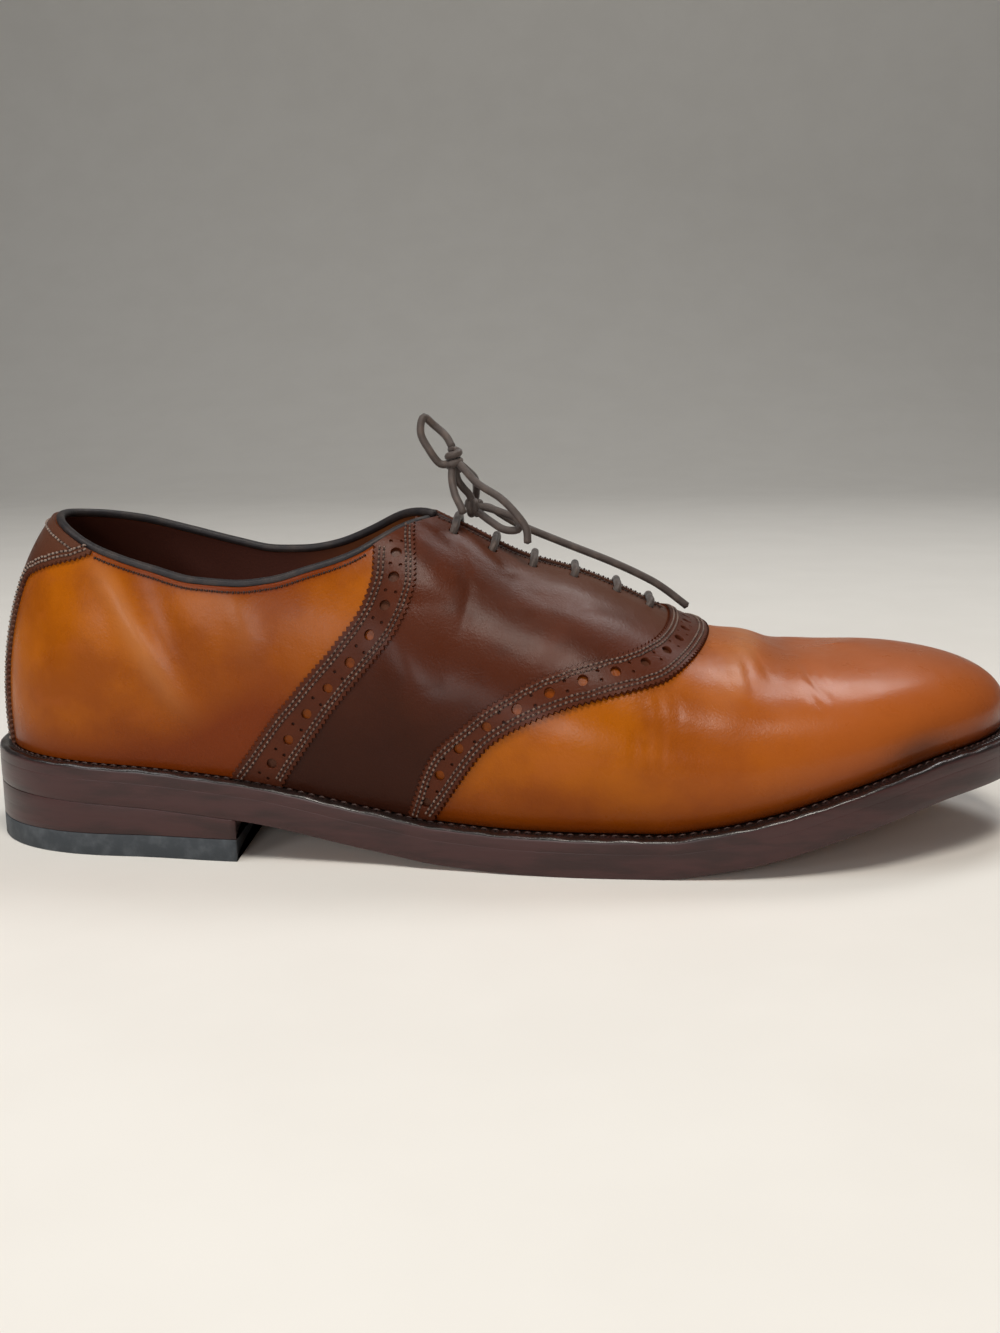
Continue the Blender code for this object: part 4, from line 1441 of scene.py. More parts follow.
def closed_loop(extra, count):
    """The sole's edge all round in plan, moved out by a little, without a doubled point."""
    shares = share_at(np.linspace(0, 1, count + 1))
    lateral, medial = (outline(side, shares, sole_reach(shares) + extra) for side in SIDES)
    return np.vstack([lateral, medial[-2:0:-1]])


def band(name, rings, material):
    """Rings of points (millimetres) one above another, with flat caps filled across."""
    size = len(rings[0])
    faces = grid_faces(len(rings), size, closed=True)
    for start in (0, (len(rings) - 1) * size):
        for i in range(size // 2):
            j = (size - i) % size
            k = (size - i - 1) % size
            if j == i:
                faces.append((start, start + 1, start + k))
            elif i + 1 == k:
                faces.append((start + i, start + k, start + j))
            elif i + 1 < k:
                faces.append((start + i, start + i + 1, start + k, start + j))
    obj = to_object(name, np.vstack(rings), faces, material)
    face_outwards(obj)
    return obj


def level(plan, height):
    """Plan points in metres given a height, as millimetres."""
    return np.concatenate([plan, height[:, None]], -1) / MM


# Operators: one for each piece or group of like pieces


class ShoeOperator:
    bl_options = {"REGISTER", "UNDO"}


class SHOE_OT_stage(ShoeOperator, bpy.types.Operator):
    """Pale floor, soft studio lights and the camera at the photograph's angle"""

    bl_idname = "shoe.stage"
    bl_label = "Stage"

    def execute(self, context):
        camera = bpy.data.cameras.new("camera")
        camera.sensor_fit = "HORIZONTAL"
        camera.sensor_width = FILM_WIDTH
        camera.lens = CAMERA_LENS
        camera.clip_start, camera.clip_end = 0.01, 20
        eye = bpy.data.objects.new("camera", camera)
        context.scene.collection.objects.link(eye)
        yaw, pitch, roll = CAMERA_YAW, CAMERA_PITCH, CAMERA_ROLL
        ahead = Vector((-math.sin(yaw) * math.cos(pitch), math.cos(yaw) * math.cos(pitch), -math.sin(pitch)))
        right = Vector((math.cos(yaw), math.sin(yaw), 0))
        up = right.cross(ahead)
        across = right * math.cos(roll) + up * math.sin(roll)
        upward = up * math.cos(roll) - right * math.sin(roll)
        turn = Matrix((across, upward, -ahead)).transposed()
        eye.matrix_world = Matrix.Translation(CAMERA_PLACE) @ turn.to_4x4()
        context.scene.camera = eye

        mesh = bpy.data.meshes.new("floor")
        near, back, bend, top, half = -2.5, 1.2, 0.9, 3.0, 3.5
        curve = [(y, 0.0) for y in np.linspace(near, back, 6)]
        for a in np.linspace(0.1, math.pi / 2, 14):
            curve.append((back + bend * math.sin(a), bend - bend * math.cos(a)))
        curve.append((2.1, top))
        mesh.from_pydata([(x, y, z) for y, z in curve for x in (-half, half)], [], grid_faces(len(curve), 2))
        mesh.shade_smooth()
        paper, shader = new_material("matt_paper", 0.9)
        fibre = ramp(paper, noise(paper, place_of(paper), 60 * MM, 3), 0.3, 0.7, 0, 0.15)
        base = mix(paper, fibre, colour("floor"), linear("#d8d4cd") + (1,))
        link(paper, base, shader, "Base Color")
        mesh.materials.append(paper)
        floor = bpy.data.objects.new("floor", mesh)
        context.scene.collection.objects.link(floor)

        for lamp in LAMPS:
            light = bpy.data.lights.new(lamp.name, "AREA")
            light.energy, light.size, light.color = lamp.power, lamp.size, linear(lamp.tint)
            holder = bpy.data.objects.new(lamp.name, light)
            context.scene.collection.objects.link(holder)
            holder.location = lamp.place
            holder.rotation_mode = "QUATERNION"
            aim = Vector(LAMP_TARGET) - Vector(lamp.place)
            holder.rotation_quaternion = aim.to_track_quat("-Z", "Y")
        world = bpy.data.worlds.new("room")
        context.scene.world = world
        world.use_nodes = True
        world.node_tree.nodes["Background"].inputs[0].default_value = (*linear("#dfe3e8"), 1)
        world.node_tree.nodes["Background"].inputs[1].default_value = ROOM_LIGHT
        context.scene.view_settings.view_transform = "Standard"
        return {"FINISHED"}


class SHOE_OT_bow(ShoeOperator, bpy.types.Operator):
    """Free parts of the lace: two knots, loops, strands and ends"""

    bl_idname = "shoe.bow"
    bl_label = "Bow"

    def execute(self, context):
        radius = LACE_DIAMETER / 2 / MM
        joined = {
            "lace_strand_outer": ((KNOT[0],), ((138.2, -14.2, 97.0),)),
            "lace_strand_inner": ((KNOT[0],), ()),
            "lace_end_short": ((KNOT[0],), ()),
            "lace_riser": ((KNOT[0],), (CROSSING[0],)),
            "lace_end_long": ((CROSSING[0],), ()),
        }
        for name, route in CORD_ROUTES.items():
            before, after = joined.get(name, ((), ()))
            points = smooth_route(before + route + after, 0.8)
            obj = tube(name + "_braid", points, radius, 14, "lace")
            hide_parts(name)
        for name, (middle, half) in (("lace_knot", KNOT), ("lace_crossing", CROSSING)):
            upright = name == "lace_knot"
            turns = 2.4 if upright else 2.2
            angle = np.linspace(0, turns * 2 * math.pi, 60)
            rise = np.linspace(-1, 1, 60)
            a, b, c = half
            if upright:
                bulge = 0.55 + 0.45 * np.cos(rise * 1.1)
                round_x, round_y = (a - 0.9) * bulge, (b - 0.9) * bulge
                wrap = (np.cos(angle) * round_x, np.sin(angle) * round_y, rise * (c - 1.3))
            else:
                bulge = 0.6 + 0.4 * np.cos(rise * 1.1)
                round_y, round_z = (b - 1.3) * bulge, (c - 0.9) * bulge
                wrap = (rise * (a - 1.2), np.cos(angle) * round_y, np.sin(angle) * round_z)
            obj = tube(name + "_wraps", np.array(middle) + np.stack(wrap, -1), 1.12, 12, "lace")
            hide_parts(name)
        return {"FINISHED"}


class SHOE_OT_lace(ShoeOperator, bpy.types.Operator):
    """The lace through its eyelets: straight bars above and hidden runs below"""

    bl_idname = "shoe.lace"
    bl_label = "Lace"

    def execute(self, context):
        radius = LACE_DIAMETER / 2
        over = SADDLE_TOP + radius * 0.98

        def spot(side, number, inset, out):
            s = np.array([EYELET_STATIONS[number - 1]])
            share = (facing_half_gap(s) + EYELET_INSET + inset * MM) / section_lengths(side, s)
            return lifted(side, s, 1 - share, out)[0] / MM

        def down(side, number, up=False):
            steps = ((-2.6, over), (-1.3, over * 0.94), (-0.45, over * 0.72))
            steps += ((-0.1, 1.6 * MM), (0, 0.0), (-0.2, -1.3 * MM))
            points = [spot(side, number, inset, out) for inset, out in steps]
            return points[::-1] if up else points

        def bar(number, first):
            s = np.array([EYELET_STATIONS[number - 1]])
            points = down(first, number, up=True)
            for side, share in ((first, 0.72), (first, 0.36), (first, 0.0), (-first, 0.36), (-first, 0.72)):
                reach = (facing_half_gap(s) + EYELET_INSET - 2.6 * MM) / section_lengths(side, s) * share
                sag = over - 0.25 * MM * (1 - share)
                points.append(lifted(side, s, 1 - reach, sag)[0] / MM)
            return points + down(-first, number)

        route = bar(2, 1) + bar(4, -1) + bar(6, 1) + bar(5, -1) + bar(3, 1) + bar(1, -1)
        points = smooth_route(np.array(route), 0.9)
        obj = tube("lace_through_eyelets", points, radius / MM, 14, "lace")
        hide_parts(*[f"lace_bar_{n}" for n in range(1, 7)])
        return {"FINISHED"}


class SHOE_OT_upper(ShoeOperator, bpy.types.Operator):
    """Tan vamp and quarters with their folds, and the lining inside"""

    bl_idname = "shoe.upper"
    bl_label = "Vamp and quarters"

    def execute(self, context):
        for name, out, material, slot, count, rows in (
            ("vamp_and_quarters", UPPER_WALL, "tan", "tan_leather", 420, 84),
            ("lining", 0.15 * MM, "lining", "tan_leather", 240, 50),
        ):
            shares = stations(count)
            heights = np.linspace(0, 1, rows) ** 0.92
            verts, faces = [], []
            values = {"burnish_shade_and_sheen": [], "toe": [], "rub": [], "dye": []}
            for side in SIDES:
                t = heights[:, None] * top_share(side, shares)[None, :]
                points = lifted(side, shares[None, :], t, out) / MM
                base = sum(len(v) for v in verts)
                verts.append(points.reshape(-1, 3))
                faces += grid_faces(rows, len(shares), base)
                for key, found in self.tints(side, shares[None, :], t).items():
                    values[key].append(found.ravel())
                if material == "tan":
                    stop = int(np.flatnonzero(shares == THROAT)[0]) + 1
                    inner = lifted(side, shares[:stop], t[-1, :stop], 0.15 * MM) / MM
                    base = sum(len(v) for v in verts)
                    verts += [points[-1, :stop], inner]
                    faces += grid_faces(2, stop, base)
                    for key in values:
                        values[key].append(np.tile(values[key][-1][-len(shares):][:stop], 2))
            obj = to_object(name, np.vstack(verts), faces, material)
            for key, found in values.items():
                add_values(obj, key, np.concatenate(found))
            face_outwards(obj)
            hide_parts("upper")
        return {"FINISHED"}

    @staticmethod
    def tints(side, s, t):
        """Shares of the tan's tints: darker next to the welt and collar, low on the heel, over the waist
        and at the tip, partly burnish and partly painted shade; painted shade in the folds; redder over
        the toe; painted sheen on the ridges; dyed brown inside the lacing and at a scuff low on the toe's
        outer side."""
        s, t = np.broadcast_arrays(s, t)
        below = top_share(side, s) - t
        side = np.full(s.shape, float(side))
        lift = fold_height(side, s, t) / MM
        # Darker next to the welt, under the collar, low on the heel, over the waist and at the tip: partly
        # burnish, partly painted shade; painted shade in the troughs of the folds
        low = np.exp(-((t / 0.12) ** 2)) * 0.9
        collar = np.exp(-((below / 0.022) ** 2)) * (s < 0.5) * 0.8
        folds = np.clip(-lift / 1.2, 0, 1) * 0.35
        heel = np.exp(-(((t - 0.15) / 0.14) ** 2)) * np.clip((s - 0.05) / 0.2, 0, 1) * (s < 0.4) * 0.55
        waist = np.exp(-(((s - 0.28) / 0.07) ** 2)) * 0.5
        tip = np.clip((s - 0.9) / 0.1, 0, 1) * 0.2
        facing = np.clip((0.09 - below) / 0.03, 0, 1) * (s > 0.40) * (s < THROAT + 0.004)
        scuff_along, scuff_up = (s - 0.888) * LAST_LENGTH / MM / 9, (t - 0.09) * 60 / 4
        scuff = 0.6 * np.exp(-(scuff_along**2 + scuff_up**2)) * (side < 0)
        return {
            "burnish_shade_and_sheen": np.clip(low + collar + folds + heel + waist + tip, 0, 1),
            "toe": np.clip((s - 0.62) / 0.2, 0, 1) * 0.85,
            # Painted sheen: paler along the ridges of the folds
            "rub": np.clip(lift / 0.8, 0, 1) * 0.45,
            "dye": np.clip(facing + scuff, 0, 1),
        }


def saddle_sheen_and_shade(side, s, t):
    """Painted sheen making the saddle paler next to the lacing; negative where painted shade makes it darker,
    low down.
    """
    pale = np.exp(-(((1 - t) / 0.34) ** 2)) * np.clip((s - 0.40) / 0.15, 0, 1) * 0.8
    return np.clip(pale, 0, 1) - np.clip((0.62 - t) / 0.45, 0, 1) * 0.8


def strap_rub(side, s, t):
    return np.full(s.shape, 0.12)


class SHOE_OT_saddle(ShoeOperator, bpy.types.Operator):
    """Dark brown saddle over the waist, open along the lacing"""

    bl_idname = "shoe.saddle"
    bl_label = "Saddle"

    def execute(self, context):
        parts = []
        for side in SIDES:
            rear = beside(RIDGE, edge_line(STRAP_EDGES["rear"], side), side * SADDLE_TUCK)
            front = beside(RIDGE, edge_line(STRAP_EDGES["front"], side), -side * SADDLE_TUCK)
            rear = up_to_collar(rear, side)
            facing = collar_run(side, place_share(rear)[-1], THROAT - 1e-4)
            front = front[np.abs(front[:, 1]) > 0.6]
            front = front[place_share(front) < 0.7125]
            low = feather_run(side, place_share(front)[0], place_share(rear)[0])
            parts.append((low[1:-1], rear, facing[1:], front))
        lateral, medial = parts
        ring = tidy(np.vstack([
            lateral[0], lateral[1], lateral[2],
            medial[2][::-1], medial[1][::-1], medial[0][::-1],
            medial[3], lateral[3][::-1],
        ]))
        holes = []
        for side in SIDES:
            for s in EYELET_STATIONS:
                share = (facing_half_gap(np.array([s])) + EYELET_INSET) / section_lengths(side, np.array([s]))
                centre = RIDGE.from_last(side, np.array([s]), 1 - share)[0]
                holes.append(circle(RIDGE, centre, details().eyelet / 2 / MM, 16))
        for kind, side in (("rear", -1), ("rear", 1), ("front", 0)):
            centres = strap_lines(kind, side).large
            holes += [circle(RIDGE, centre, details().large_hole / 2 / MM + 0.15, 16) for centre in centres]
        obj = panel("saddle_panel", RIDGE, ring, holes, UPPER_WALL, SADDLE_TOP, 1.35, saddle_sheen_and_shade)
        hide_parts("saddle")
        return {"FINISHED"}


class SHOE_OT_straps(ShoeOperator, bpy.types.Operator):
    """Brogued straps on the saddle's rear and front edges, gimped and stitched on both sides"""

    bl_idname = "shoe.straps"
    bl_label = "Brogued straps"

    def execute(self, context):
        rows, grounds = [], {"tan": [], "brown": []}
        for name, kind, side in (
            ("strap_rear_lateral", "rear", -1),
            ("strap_rear_medial", "rear", 1),
            ("strap_front", "front", 0),
        ):
            strap = strap_lines(kind, side)
            turn = side or 1
            outer, inner = toothed(RIDGE, strap.outer, turn), toothed(RIDGE, strap.inner, -turn)
            ring = tidy(np.vstack([outer, strap.top, inner[::-1], strap.foot]))
            large, small = details().large_hole / 2 / MM, details().small_hole / 2 / MM
            holes = [circle(RIDGE, centre, large, 20) for centre in strap.large]
            holes += [circle(RIDGE, centre, small, 8) for centre in strap.small]
            obj = panel(name, RIDGE, ring, holes, UPPER_WALL, STRAP_TOP, 1.1, strap_rub, 0.16)
            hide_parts("saddle")
            for line, way, reaches in (
                (strap.outer, turn, OUTER_STITCH_ROWS),
                (strap.inner, -turn, INNER_STITCH_ROWS),
            ):
                for reach in reaches:
                    path = beside(RIDGE, line, way * reach)[2:-2]
                    rows.append(stitch_row(RIDGE, path, STRAP_TOP - 0.05 * MM))
            for centre, shown in zip(strap.large, strap.tan):
                disc = circle(RIDGE, centre, large * 1.15, DISC_CORNERS)
                grounds["tan" if shown else "brown"].append(disc)
        stitched("strap", rows, "thread")
        for material, discs in grounds.items():
            discs = [place(RIDGE, disc, UPPER_WALL + 0.12 * MM) for disc in discs]
            faces = [tuple(range(DISC_CORNERS * n, DISC_CORNERS * (n + 1))) for n in range(len(discs))]
            obj = to_object("hole_ground_" + material, np.vstack(discs), faces, material)
            # Painted shade: the tan hole grounds come out darker than the tan round them; the brown ones
            # paler
            add_values(obj, "burnish_shade_and_sheen", np.full(DISC_CORNERS * len(discs), 0.6))
        return {"FINISHED"}


class SHOE_OT_facing_stitches(ShoeOperator, bpy.types.Operator):
    """Stitches beside the facing edges and under the collar"""

    bl_idname = "shoe.facing_stitches"
    bl_label = "Facing and collar stitches"

    def execute(self, context):
        dark = []
        for side in SIDES:
            facing = collar_run(side, COLLAR[-2].at + 0.006, THROAT - 0.004, 1.6)
            dark.append(stitch_row(RIDGE, facing, SADDLE_TOP))
            s = np.linspace(0.102 if side < 0 else 0.115, 0.374, 80)
            t = top_share(side, s) - 1.5 * MM / section_lengths(side, s)
            dark.append(stitch_row(RIDGE, RIDGE.from_last(side, s, t), UPPER_WALL))
        stitched("facing_and_collar", dark, "dark_thread")
        return {"FINISHED"}


class SHOE_OT_backstay(ShoeOperator, bpy.types.Operator):
    """Strip up the heel seam that spreads into a gimped wing under the collar"""

    bl_idname = "shoe.backstay"
    bl_label = "Backstay"
    pinholes = ((-13.0, 59.4), (-7.0, 54.6), (0.0, 57.4), (7.0, 54.6), (13.0, 59.4), (0.0, 50.0))

    def execute(self, context):
        out = UPPER_WALL + 1.1 * MM
        halves, strips, wings = [], [], []
        for side in SIDES:
            turn = np.linspace(0.002, 0.34, 170)
            s = share_at(turn)
            t = np.linspace(0, 0.8, 160)
            points = lifted(side, s[:, None], t[None, :], out)
            width = np.abs(points[..., 1]) / (BACKSTAY_WIDTH / 2)
            height = (points[..., 2] - feather_height(points[..., 0])) / INSTEP_HEIGHT
            wing_height, wing_place = zip(*WING)
            edge = np.interp(points[..., 0] / LAST_LENGTH, wing_place, wing_height)
            strip = []
            for j in range(len(t)):
                i = int(np.flatnonzero(width[:, j] > 1)[0])
                f = (1 - width[i - 1, j]) / (width[i, j] - width[i - 1, j])
                if height[i, j] > edge[i, j]:
                    break
                strip.append((turn[i - 1] + f * (turn[i] - turn[i - 1]), t[j]))
            wing = []
            for i in range(len(turn)):
                over = np.flatnonzero(height[i] > edge[i])
                if turn[i] < strip[-1][0] or not len(over):
                    continue
                j = int(over[0])
                climb = (height[i, j] - height[i, j - 1]) - (edge[i, j] - edge[i, j - 1])
                f = (edge[i, j - 1] - height[i, j - 1]) / climb
                at = t[j - 1] + f * (t[j] - t[j - 1])
                if at > top_share(side, np.array([s[i]]))[0]:
                    break
                wing.append((turn[i], at))
            strip = np.array(strip) * (side * HEEL.ROUND, HEEL.UP)
            wing = np.array(wing) * (side * HEEL.ROUND, HEEL.UP)
            halves.append(self.round_corner(strip, wing))
            strips.append(strip)
            wings.append(wing)
        lines = [toothed(HEEL, half, 1 if side > 0 else -1) for half, side in zip(halves, SIDES)]
        stop = [abs(line[-1, 0]) / HEEL.ROUND for line in halves]
        top = np.linspace(-stop[0], stop[1], 60)
        side = np.where(top < 0, -1, 1)
        s = share_at(top)
        rim = np.where(side < 0, top_share(-1, s), top_share(1, s))
        crown = np.stack([top * HEEL.ROUND, rim * HEEL.UP], -1)
        foot = np.stack([np.linspace(halves[1][0, 0], halves[0][0, 0], 16), np.zeros(16)], -1)
        ring = np.vstack([lines[0], crown[1:-1], lines[1][::-1], foot[1:-1]])
        small = details().small_hole * 0.8 / MM
        holes = [circle(HEEL, np.array(spot), small, 10) for spot in self.pinholes]
        obj = panel("backstay_panel", HEEL, tidy(ring), holes, UPPER_WALL, out, 1.1, self.rub, 0.16)
        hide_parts("backstay")
        rows = []
        for half, side in zip(halves, SIDES):
            for reach in OUTER_STITCH_ROWS:
                rows.append(stitch_row(HEEL, beside(HEEL, half, side * reach)[2:-2], out))
        rows.append(stitch_row(HEEL, crown[4:-4] - (0, 2.6), out))
        stitched("backstay", rows, "pale_thread")
        return {"FINISHED"}

    @staticmethod
    def round_corner(strip, wing):
        line = np.vstack([strip, wing])
        even = evenly(HEEL, line, 0.8)
        for _ in range(14):
            even[1:-1] = (even[:-2] + 2 * even[1:-1] + even[2:]) / 4
        return even

    @staticmethod
    def rub(side, s, t):
        return np.clip(0.55 + 0.2 * np.sin(t * 20), 0, 1) * np.ones_like(s)


class SHOE_OT_binding(ShoeOperator, bpy.types.Operator):
    """Rolled bead round the collar"""

    bl_idname = "shoe.binding"
    bl_label = "Collar binding"

    def execute(self, context):
        shares = stations(300)
        shares = np.append(shares[shares < COLLAR[-2].at - 0.002], COLLAR[-2].at)
        path, normal = [], []
        for side, order in ((-1, slice(None, None, -1)), (1, slice(1, None))):
            s = shares[order]
            t = top_share(side, s)
            path.append(lifted(side, s, t, UPPER_WALL / 2))
            normal.append(lifted(side, s, t, UPPER_WALL) - lifted(side, s, t, 0.0))
        path, normal = np.concatenate(path), unit(np.concatenate(normal))
        upward = unit(np.cross(unit(np.gradient(path, axis=0)), normal))
        upward *= np.sign(upward[:, 2:])
        for _ in range(3):
            upward[1:-1] = unit(upward[:-2] + 2 * upward[1:-1] + upward[2:])
            path[1:-1] = (path[:-2] + 2 * path[1:-1] + path[2:]) / 4
        centres = (path + upward * (BINDING_RADIUS - 0.5 * MM)) / MM
        obj = tube("collar_bead", centres, BINDING_RADIUS / MM - 0.2, 16, "binding")
        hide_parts("collar_binding")
        return {"FINISHED"}


class SHOE_OT_tongue(ShoeOperator, bpy.types.Operator):
    """Tongue under the lacing, with rounded corners at its top"""

    bl_idname = "shoe.tongue"
    bl_label = "Tongue"

    def execute(self, context):
        shares = np.linspace(TONGUE_TOP, TONGUE_FRONT, 70)
        half = np.interp(shares, (TONGUE_TOP, TONGUE_FRONT), (TONGUE_TOP_WIDTH / 2, TONGUE_FRONT_WIDTH / 2))
        corner = np.clip((shares - TONGUE_TOP) / 0.03, 0, 1)
        half = half * (0.72 + 0.28 * np.sqrt(1 - (1 - corner) ** 2))
        across = np.linspace(-1, 1, 33)
        verts = []
        for depth in (-TONGUE_DROP, -TONGUE_DROP - TONGUE_THICKNESS):
            sheet = []
            for share in across:
                side = -1 if share < 0 else 1
                t = 1 - abs(share) * half / section_lengths(side, shares)
                edge = (abs(share) > 0.96) * 0.5 * MM
                thinner = edge if depth == -TONGUE_DROP else -edge
                sheet.append(lifted(side, shares, t, depth - thinner) / MM)
            verts.append(np.array(sheet))
        rows, columns = verts[0].shape[:2]
        faces = grid_faces(rows, columns) + grid_faces(rows, columns, rows * columns)
        size = rows * columns
        for i in range(rows - 1):
            for column_at in (0, columns - 1):
                a, b = i * columns + column_at, (i + 1) * columns + column_at
                faces.append((a, b, b + size, a + size))
        for j in range(columns - 1):
            for row_at in (0, rows - 1):
                a = row_at * columns + j
                faces.append((a, a + 1, a + 1 + size, a + size))
        obj = to_object("tongue_leather", np.vstack([v.reshape(-1, 3) for v in verts]), faces, "brown")
        add_values(obj, "burnish_shade_and_sheen", np.full(2 * size, 0.2))
        face_outwards(obj)
        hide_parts("tongue")
        return {"FINISHED"}


class SHOE_OT_welt(ShoeOperator, bpy.types.Operator):
    """Wheeled welt all round, with the sole stitches in its groove"""

    bl_idname = "shoe.welt"
    bl_label = "Welt"

    def execute(self, context):
        plan = closed_loop(0.0, WELT_STATIONS)
        steps = np.linalg.norm(np.diff(np.vstack([plan, plan[:1]]), axis=0), axis=1)
        run = np.concatenate([[0], np.cumsum(steps)])
        count = int(run[-1] / (details().wheel_pitch / 5) / 10) * 10
        shares = share_at(np.linspace(0, 1, WELT_STATIONS + 1))
        turns = np.concatenate([-turn_of(-1, shares), 2 - turn_of(1, shares[-2::-1])])
        want = np.linspace(0, run[-1], count, endpoint=False)
        turn = np.interp(want, run, turns)
        back = turn > 1
        side = np.where(back, 1.0, -1.0)
        s = share_at(np.where(back, 2 - turn, turn))
        reach = sole_reach(s)
        beat = np.abs(np.sin(math.pi * want / details().wheel_pitch)) ** 1.5

        def ring(share, drop, low=False, inward=None):
            out = reach * share if inward is None else np.full_like(reach, inward)
            points = np.empty((count, 2))
            for k in SIDES:
                points[side == k] = outline(k, s[side == k], out[side == k])
            height = outsole_top(points[:, 0]) + GAP * 0.2 if low else welt_top(points[:, 0])
            return level(points, height + drop)

        waves = ((9.1, 0), (3.7, 1), (1.6, 2))
        uneven = 0.10 * MM * sum(np.sin(want / (wave * MM) + phase) for wave, phase in waves)
        groove = ((0.30, 0.25), (0.40, 0.45), (0.50, 0.45), (0.58, 0.2))
        crest = (
            (0.62, -0.32, 0),
            (0.68, 0.05, 0.6),
            (0.76, 0.24, 1),
            (0.84, 0.26, 1),
            (0.91, 0.12, 0.9),
            (0.965, -0.14, 0.6),
            (0.995, -0.5, 0.3),
        )
        rings = [ring(0, 0, inward=-WELT_LEDGE), ring(0.22, -0.1 * MM)]
        rings += [ring(share, (lift * beat - 0.35) * MM) for share, lift in groove]
        rings += [ring(share, lift * MM + uneven * part) for share, lift, part in crest]
        wall = [
            ring(1.008, -1.0 * MM),
            ring(1.008, -2.6 * MM),
            ring(1.008, 0.12 * MM, low=True),
            ring(1.006, 0, low=True),
            ring(0, 0, low=True, inward=-WELT_LEDGE),
        ]
        verts = np.vstack(rings + wall)
        faces = grid_faces(len(rings + wall), count, closed=True)
        obj = to_object("welt_ring", verts, faces, ["welt", "edge"])
        top_faces = (len(rings) - 1) * count
        polygons = obj.data.polygons
        polygons.foreach_set("material_index", [int(i >= top_faces) for i in range(len(polygons))])
        face_outwards(obj)
        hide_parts("welt")
        middle = ring(0.42, -0.12 * MM)
        number = int(run[-1] / MM / SOLE_STITCH_PITCH)
        pick = np.linspace(0, count, number, endpoint=False).astype(int)
        ahead = unit(np.roll(middle, -1, 0) - np.roll(middle, 1, 0))[pick]
        up = np.tile((0.0, 0.0, 1.0), (number, 1))
        obj = stitches("welt_stitches", [(middle[pick], ahead, up)], 2.3 * MM, 0.7 * MM, "dark_thread")
        return {"FINISHED"}


class SHOE_OT_sole(ShoeOperator, bpy.types.Operator):
    """Outsole, stacked heel and rubber top lift"""

    bl_idname = "shoe.sole"
    bl_label = "Sole and heel"

    def execute(self, context):
        rings = []
        low_edge = ((-0.9, 0), (-0.1, 0.02), (0.0, 0.15), (0.1, 2.4), (0.1, 4.8))
        high_edge = ((0.09, 6.9), (0.08, 7.05), (0.04, 7.2), (-1.5, 7.22))
        for extra, lift in low_edge + high_edge:
            plan = closed_loop(extra * MM, 200)
            rings.append(level(plan, underside(plan[:, 0]) + lift * MM))
        obj = band("outsole_leather", rings, ["edge", "sole"])
        low = np.array([p.normal.z < -0.7 for p in obj.data.polygons])
        obj.data.polygons.foreach_set("material_index", low.astype(int).tolist())
        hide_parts("outsole")
        for name, node_name, slot, material, lows, highs, lines in (
            ("heel_stack_leather", "heel_stack", "stacked_leather", "edge", TOP_LIFT + GAP * 0.2, None, 2),
            ("rubber_top_lift", "heel_top_lift", "lift_rubber", "rubber", 0.0, TOP_LIFT, 0),
        ):
            rings = self.heel_rings(lows, highs, lines)
            obj = band(name, rings, material)
            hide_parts(node_name)
        return {"FINISHED"}

    @staticmethod
    def heel_plan(extra):
        shares = np.linspace(0, 1, 70) ** 1.8 * HEEL_LENGTH / LAST_LENGTH
        lateral = outline(-1, shares, sole_reach(shares) + extra)
        medial = outline(1, shares, sole_reach(shares) + extra)
        across = np.linspace(0, 1, 22)[1:-1, None]
        front = lateral[-1] * (1 - across) + medial[-1] * across
        front[:, :1] -= (BREAST_HOLLOW + extra * 0.5) * 4 * across * (1 - across) - extra * 0.4
        return np.vstack([lateral, front, medial[-1:0:-1]])

    def heel_rings(self, low, high, lines):
        """Rings up a part of the heel, with fine lines where its layers meet."""
        spread = 7.4
        steps = [(-0.9, 0.0), (-0.15, 0.03), (0.0, 0.3)]
        for k in range(1, lines + 1):
            up = k / (lines + 1) * spread
            steps += [(0.02, up - 0.25), (0.0, up), (0.02, up + 0.25)]
        made = []
        for extra, lift in steps:
            plan = self.heel_plan(extra * MM)
            made.append(level(plan, np.full(len(plan), low + lift * MM)))
        for extra, drop in ((0.02, 0.12), (-0.02, 0.0), (-0.9, 0.0)):
            plan = self.heel_plan(extra * MM)
            top = underside(plan[:, 0]) - GAP * 0.2 if high is None else np.full(len(plan), high)
            made.append(level(plan, top - drop * MM))
        return made


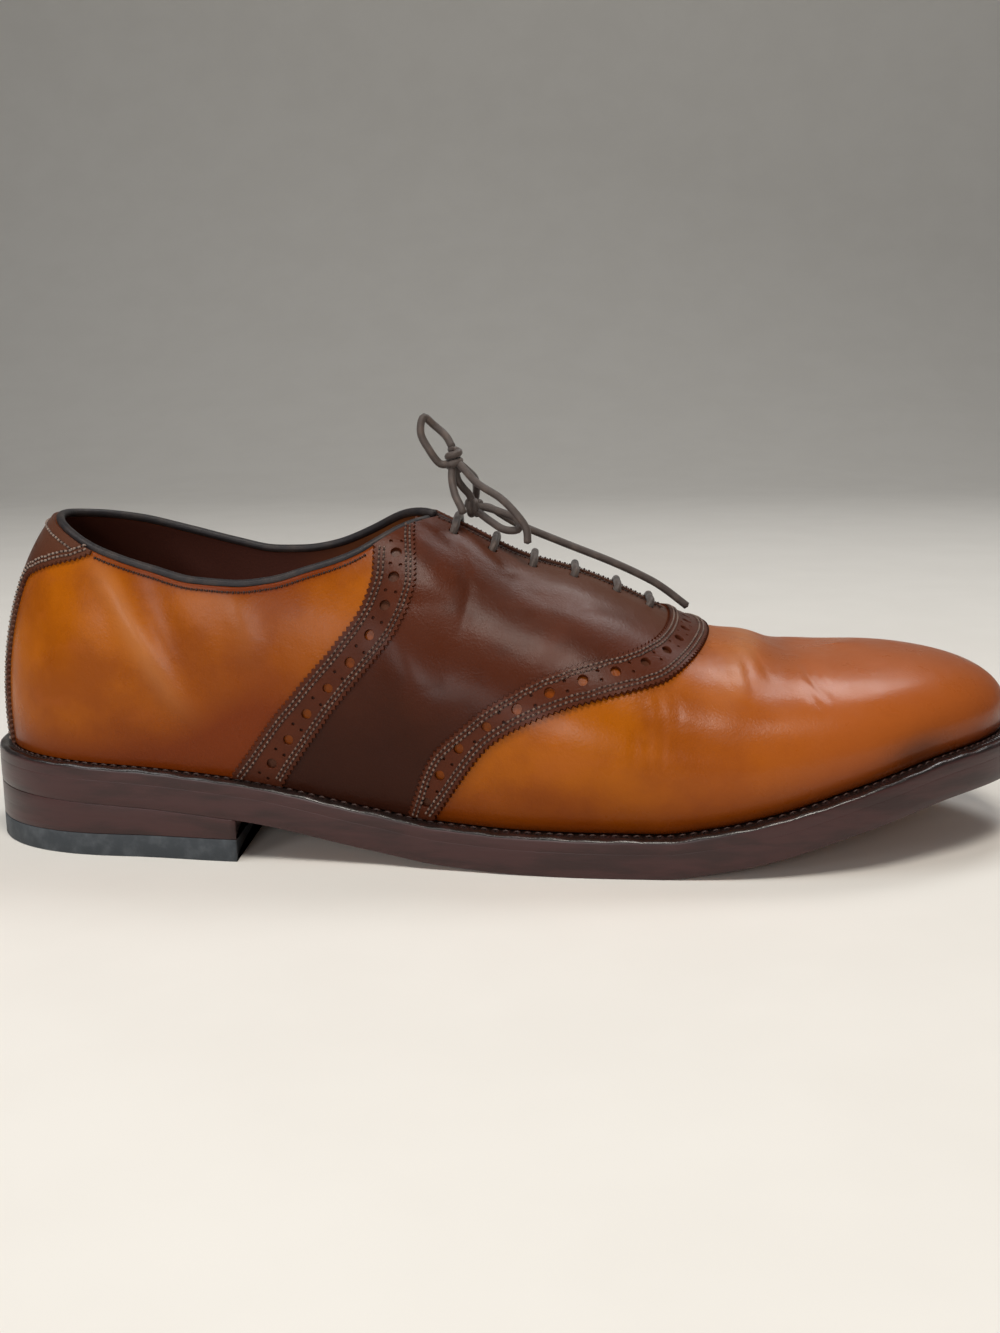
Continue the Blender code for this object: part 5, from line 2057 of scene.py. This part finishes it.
class SHOE_OT_insole(ShoeOperator, bpy.types.Operator):
    """Insole, as seen through the collar"""

    bl_idname = "shoe.insole"
    bl_label = "Insole"

    def execute(self, context):
        inset = -WELT_LEDGE - GAP
        shares = share_at(np.linspace(0, 1, 161))
        rings = []
        for extra, drop in ((0.0, 3.4), (0.0, 0.4), (-0.4, 0.05), (-1.2, 0.0)):
            lateral, medial = (outline(side, shares, inset + extra * MM) for side in SIDES)
            plan = np.vstack([lateral, medial[-2:0:-1]])
            rings.append(level(plan, welt_top(plan[:, 0]) - drop * MM))
        obj = band("insole_leather_board", rings, "insole")
        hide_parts("insole")
        return {"FINISHED"}


class SHOE_PT_panel(bpy.types.Panel):
    bl_idname = "SHOE_PT_panel"
    bl_label = "Saddle Shoe"
    bl_space_type = "VIEW_3D"
    bl_region_type = "UI"
    bl_category = "Shoe"

    def draw(self, context):
        for group in (context.scene.shoe_details, context.scene.shoe_colours):
            box = self.layout.box()
            for name in group.bl_rna.properties.keys():
                if name not in {"rna_type", "name"}:
                    box.prop(group, name)
        for operator in OPERATORS:
            self.layout.operator(operator.bl_idname)


OPERATORS = (
    SHOE_OT_stage,
    SHOE_OT_bow,
    SHOE_OT_lace,
    SHOE_OT_upper,
    SHOE_OT_saddle,
    SHOE_OT_straps,
    SHOE_OT_facing_stitches,
    SHOE_OT_backstay,
    SHOE_OT_binding,
    SHOE_OT_tongue,
    SHOE_OT_welt,
    SHOE_OT_sole,
    SHOE_OT_insole,
)
CLASSES = (ShoeDetails, ShoeColours) + OPERATORS + (SHOE_PT_panel,)


def register():
    for cls in CLASSES:
        bpy.utils.register_class(cls)
    bpy.types.Scene.shoe_details = PointerProperty(type=ShoeDetails)
    bpy.types.Scene.shoe_colours = PointerProperty(type=ShoeColours)


def unregister():
    del bpy.types.Scene.shoe_colours
    del bpy.types.Scene.shoe_details
    for cls in reversed(CLASSES):
        bpy.utils.unregister_class(cls)


def main():
    register()
    for operator in OPERATORS:
        group, name = operator.bl_idname.split(".")
        getattr(getattr(bpy.ops, group), name)()


if __name__ == "__main__":
    main()
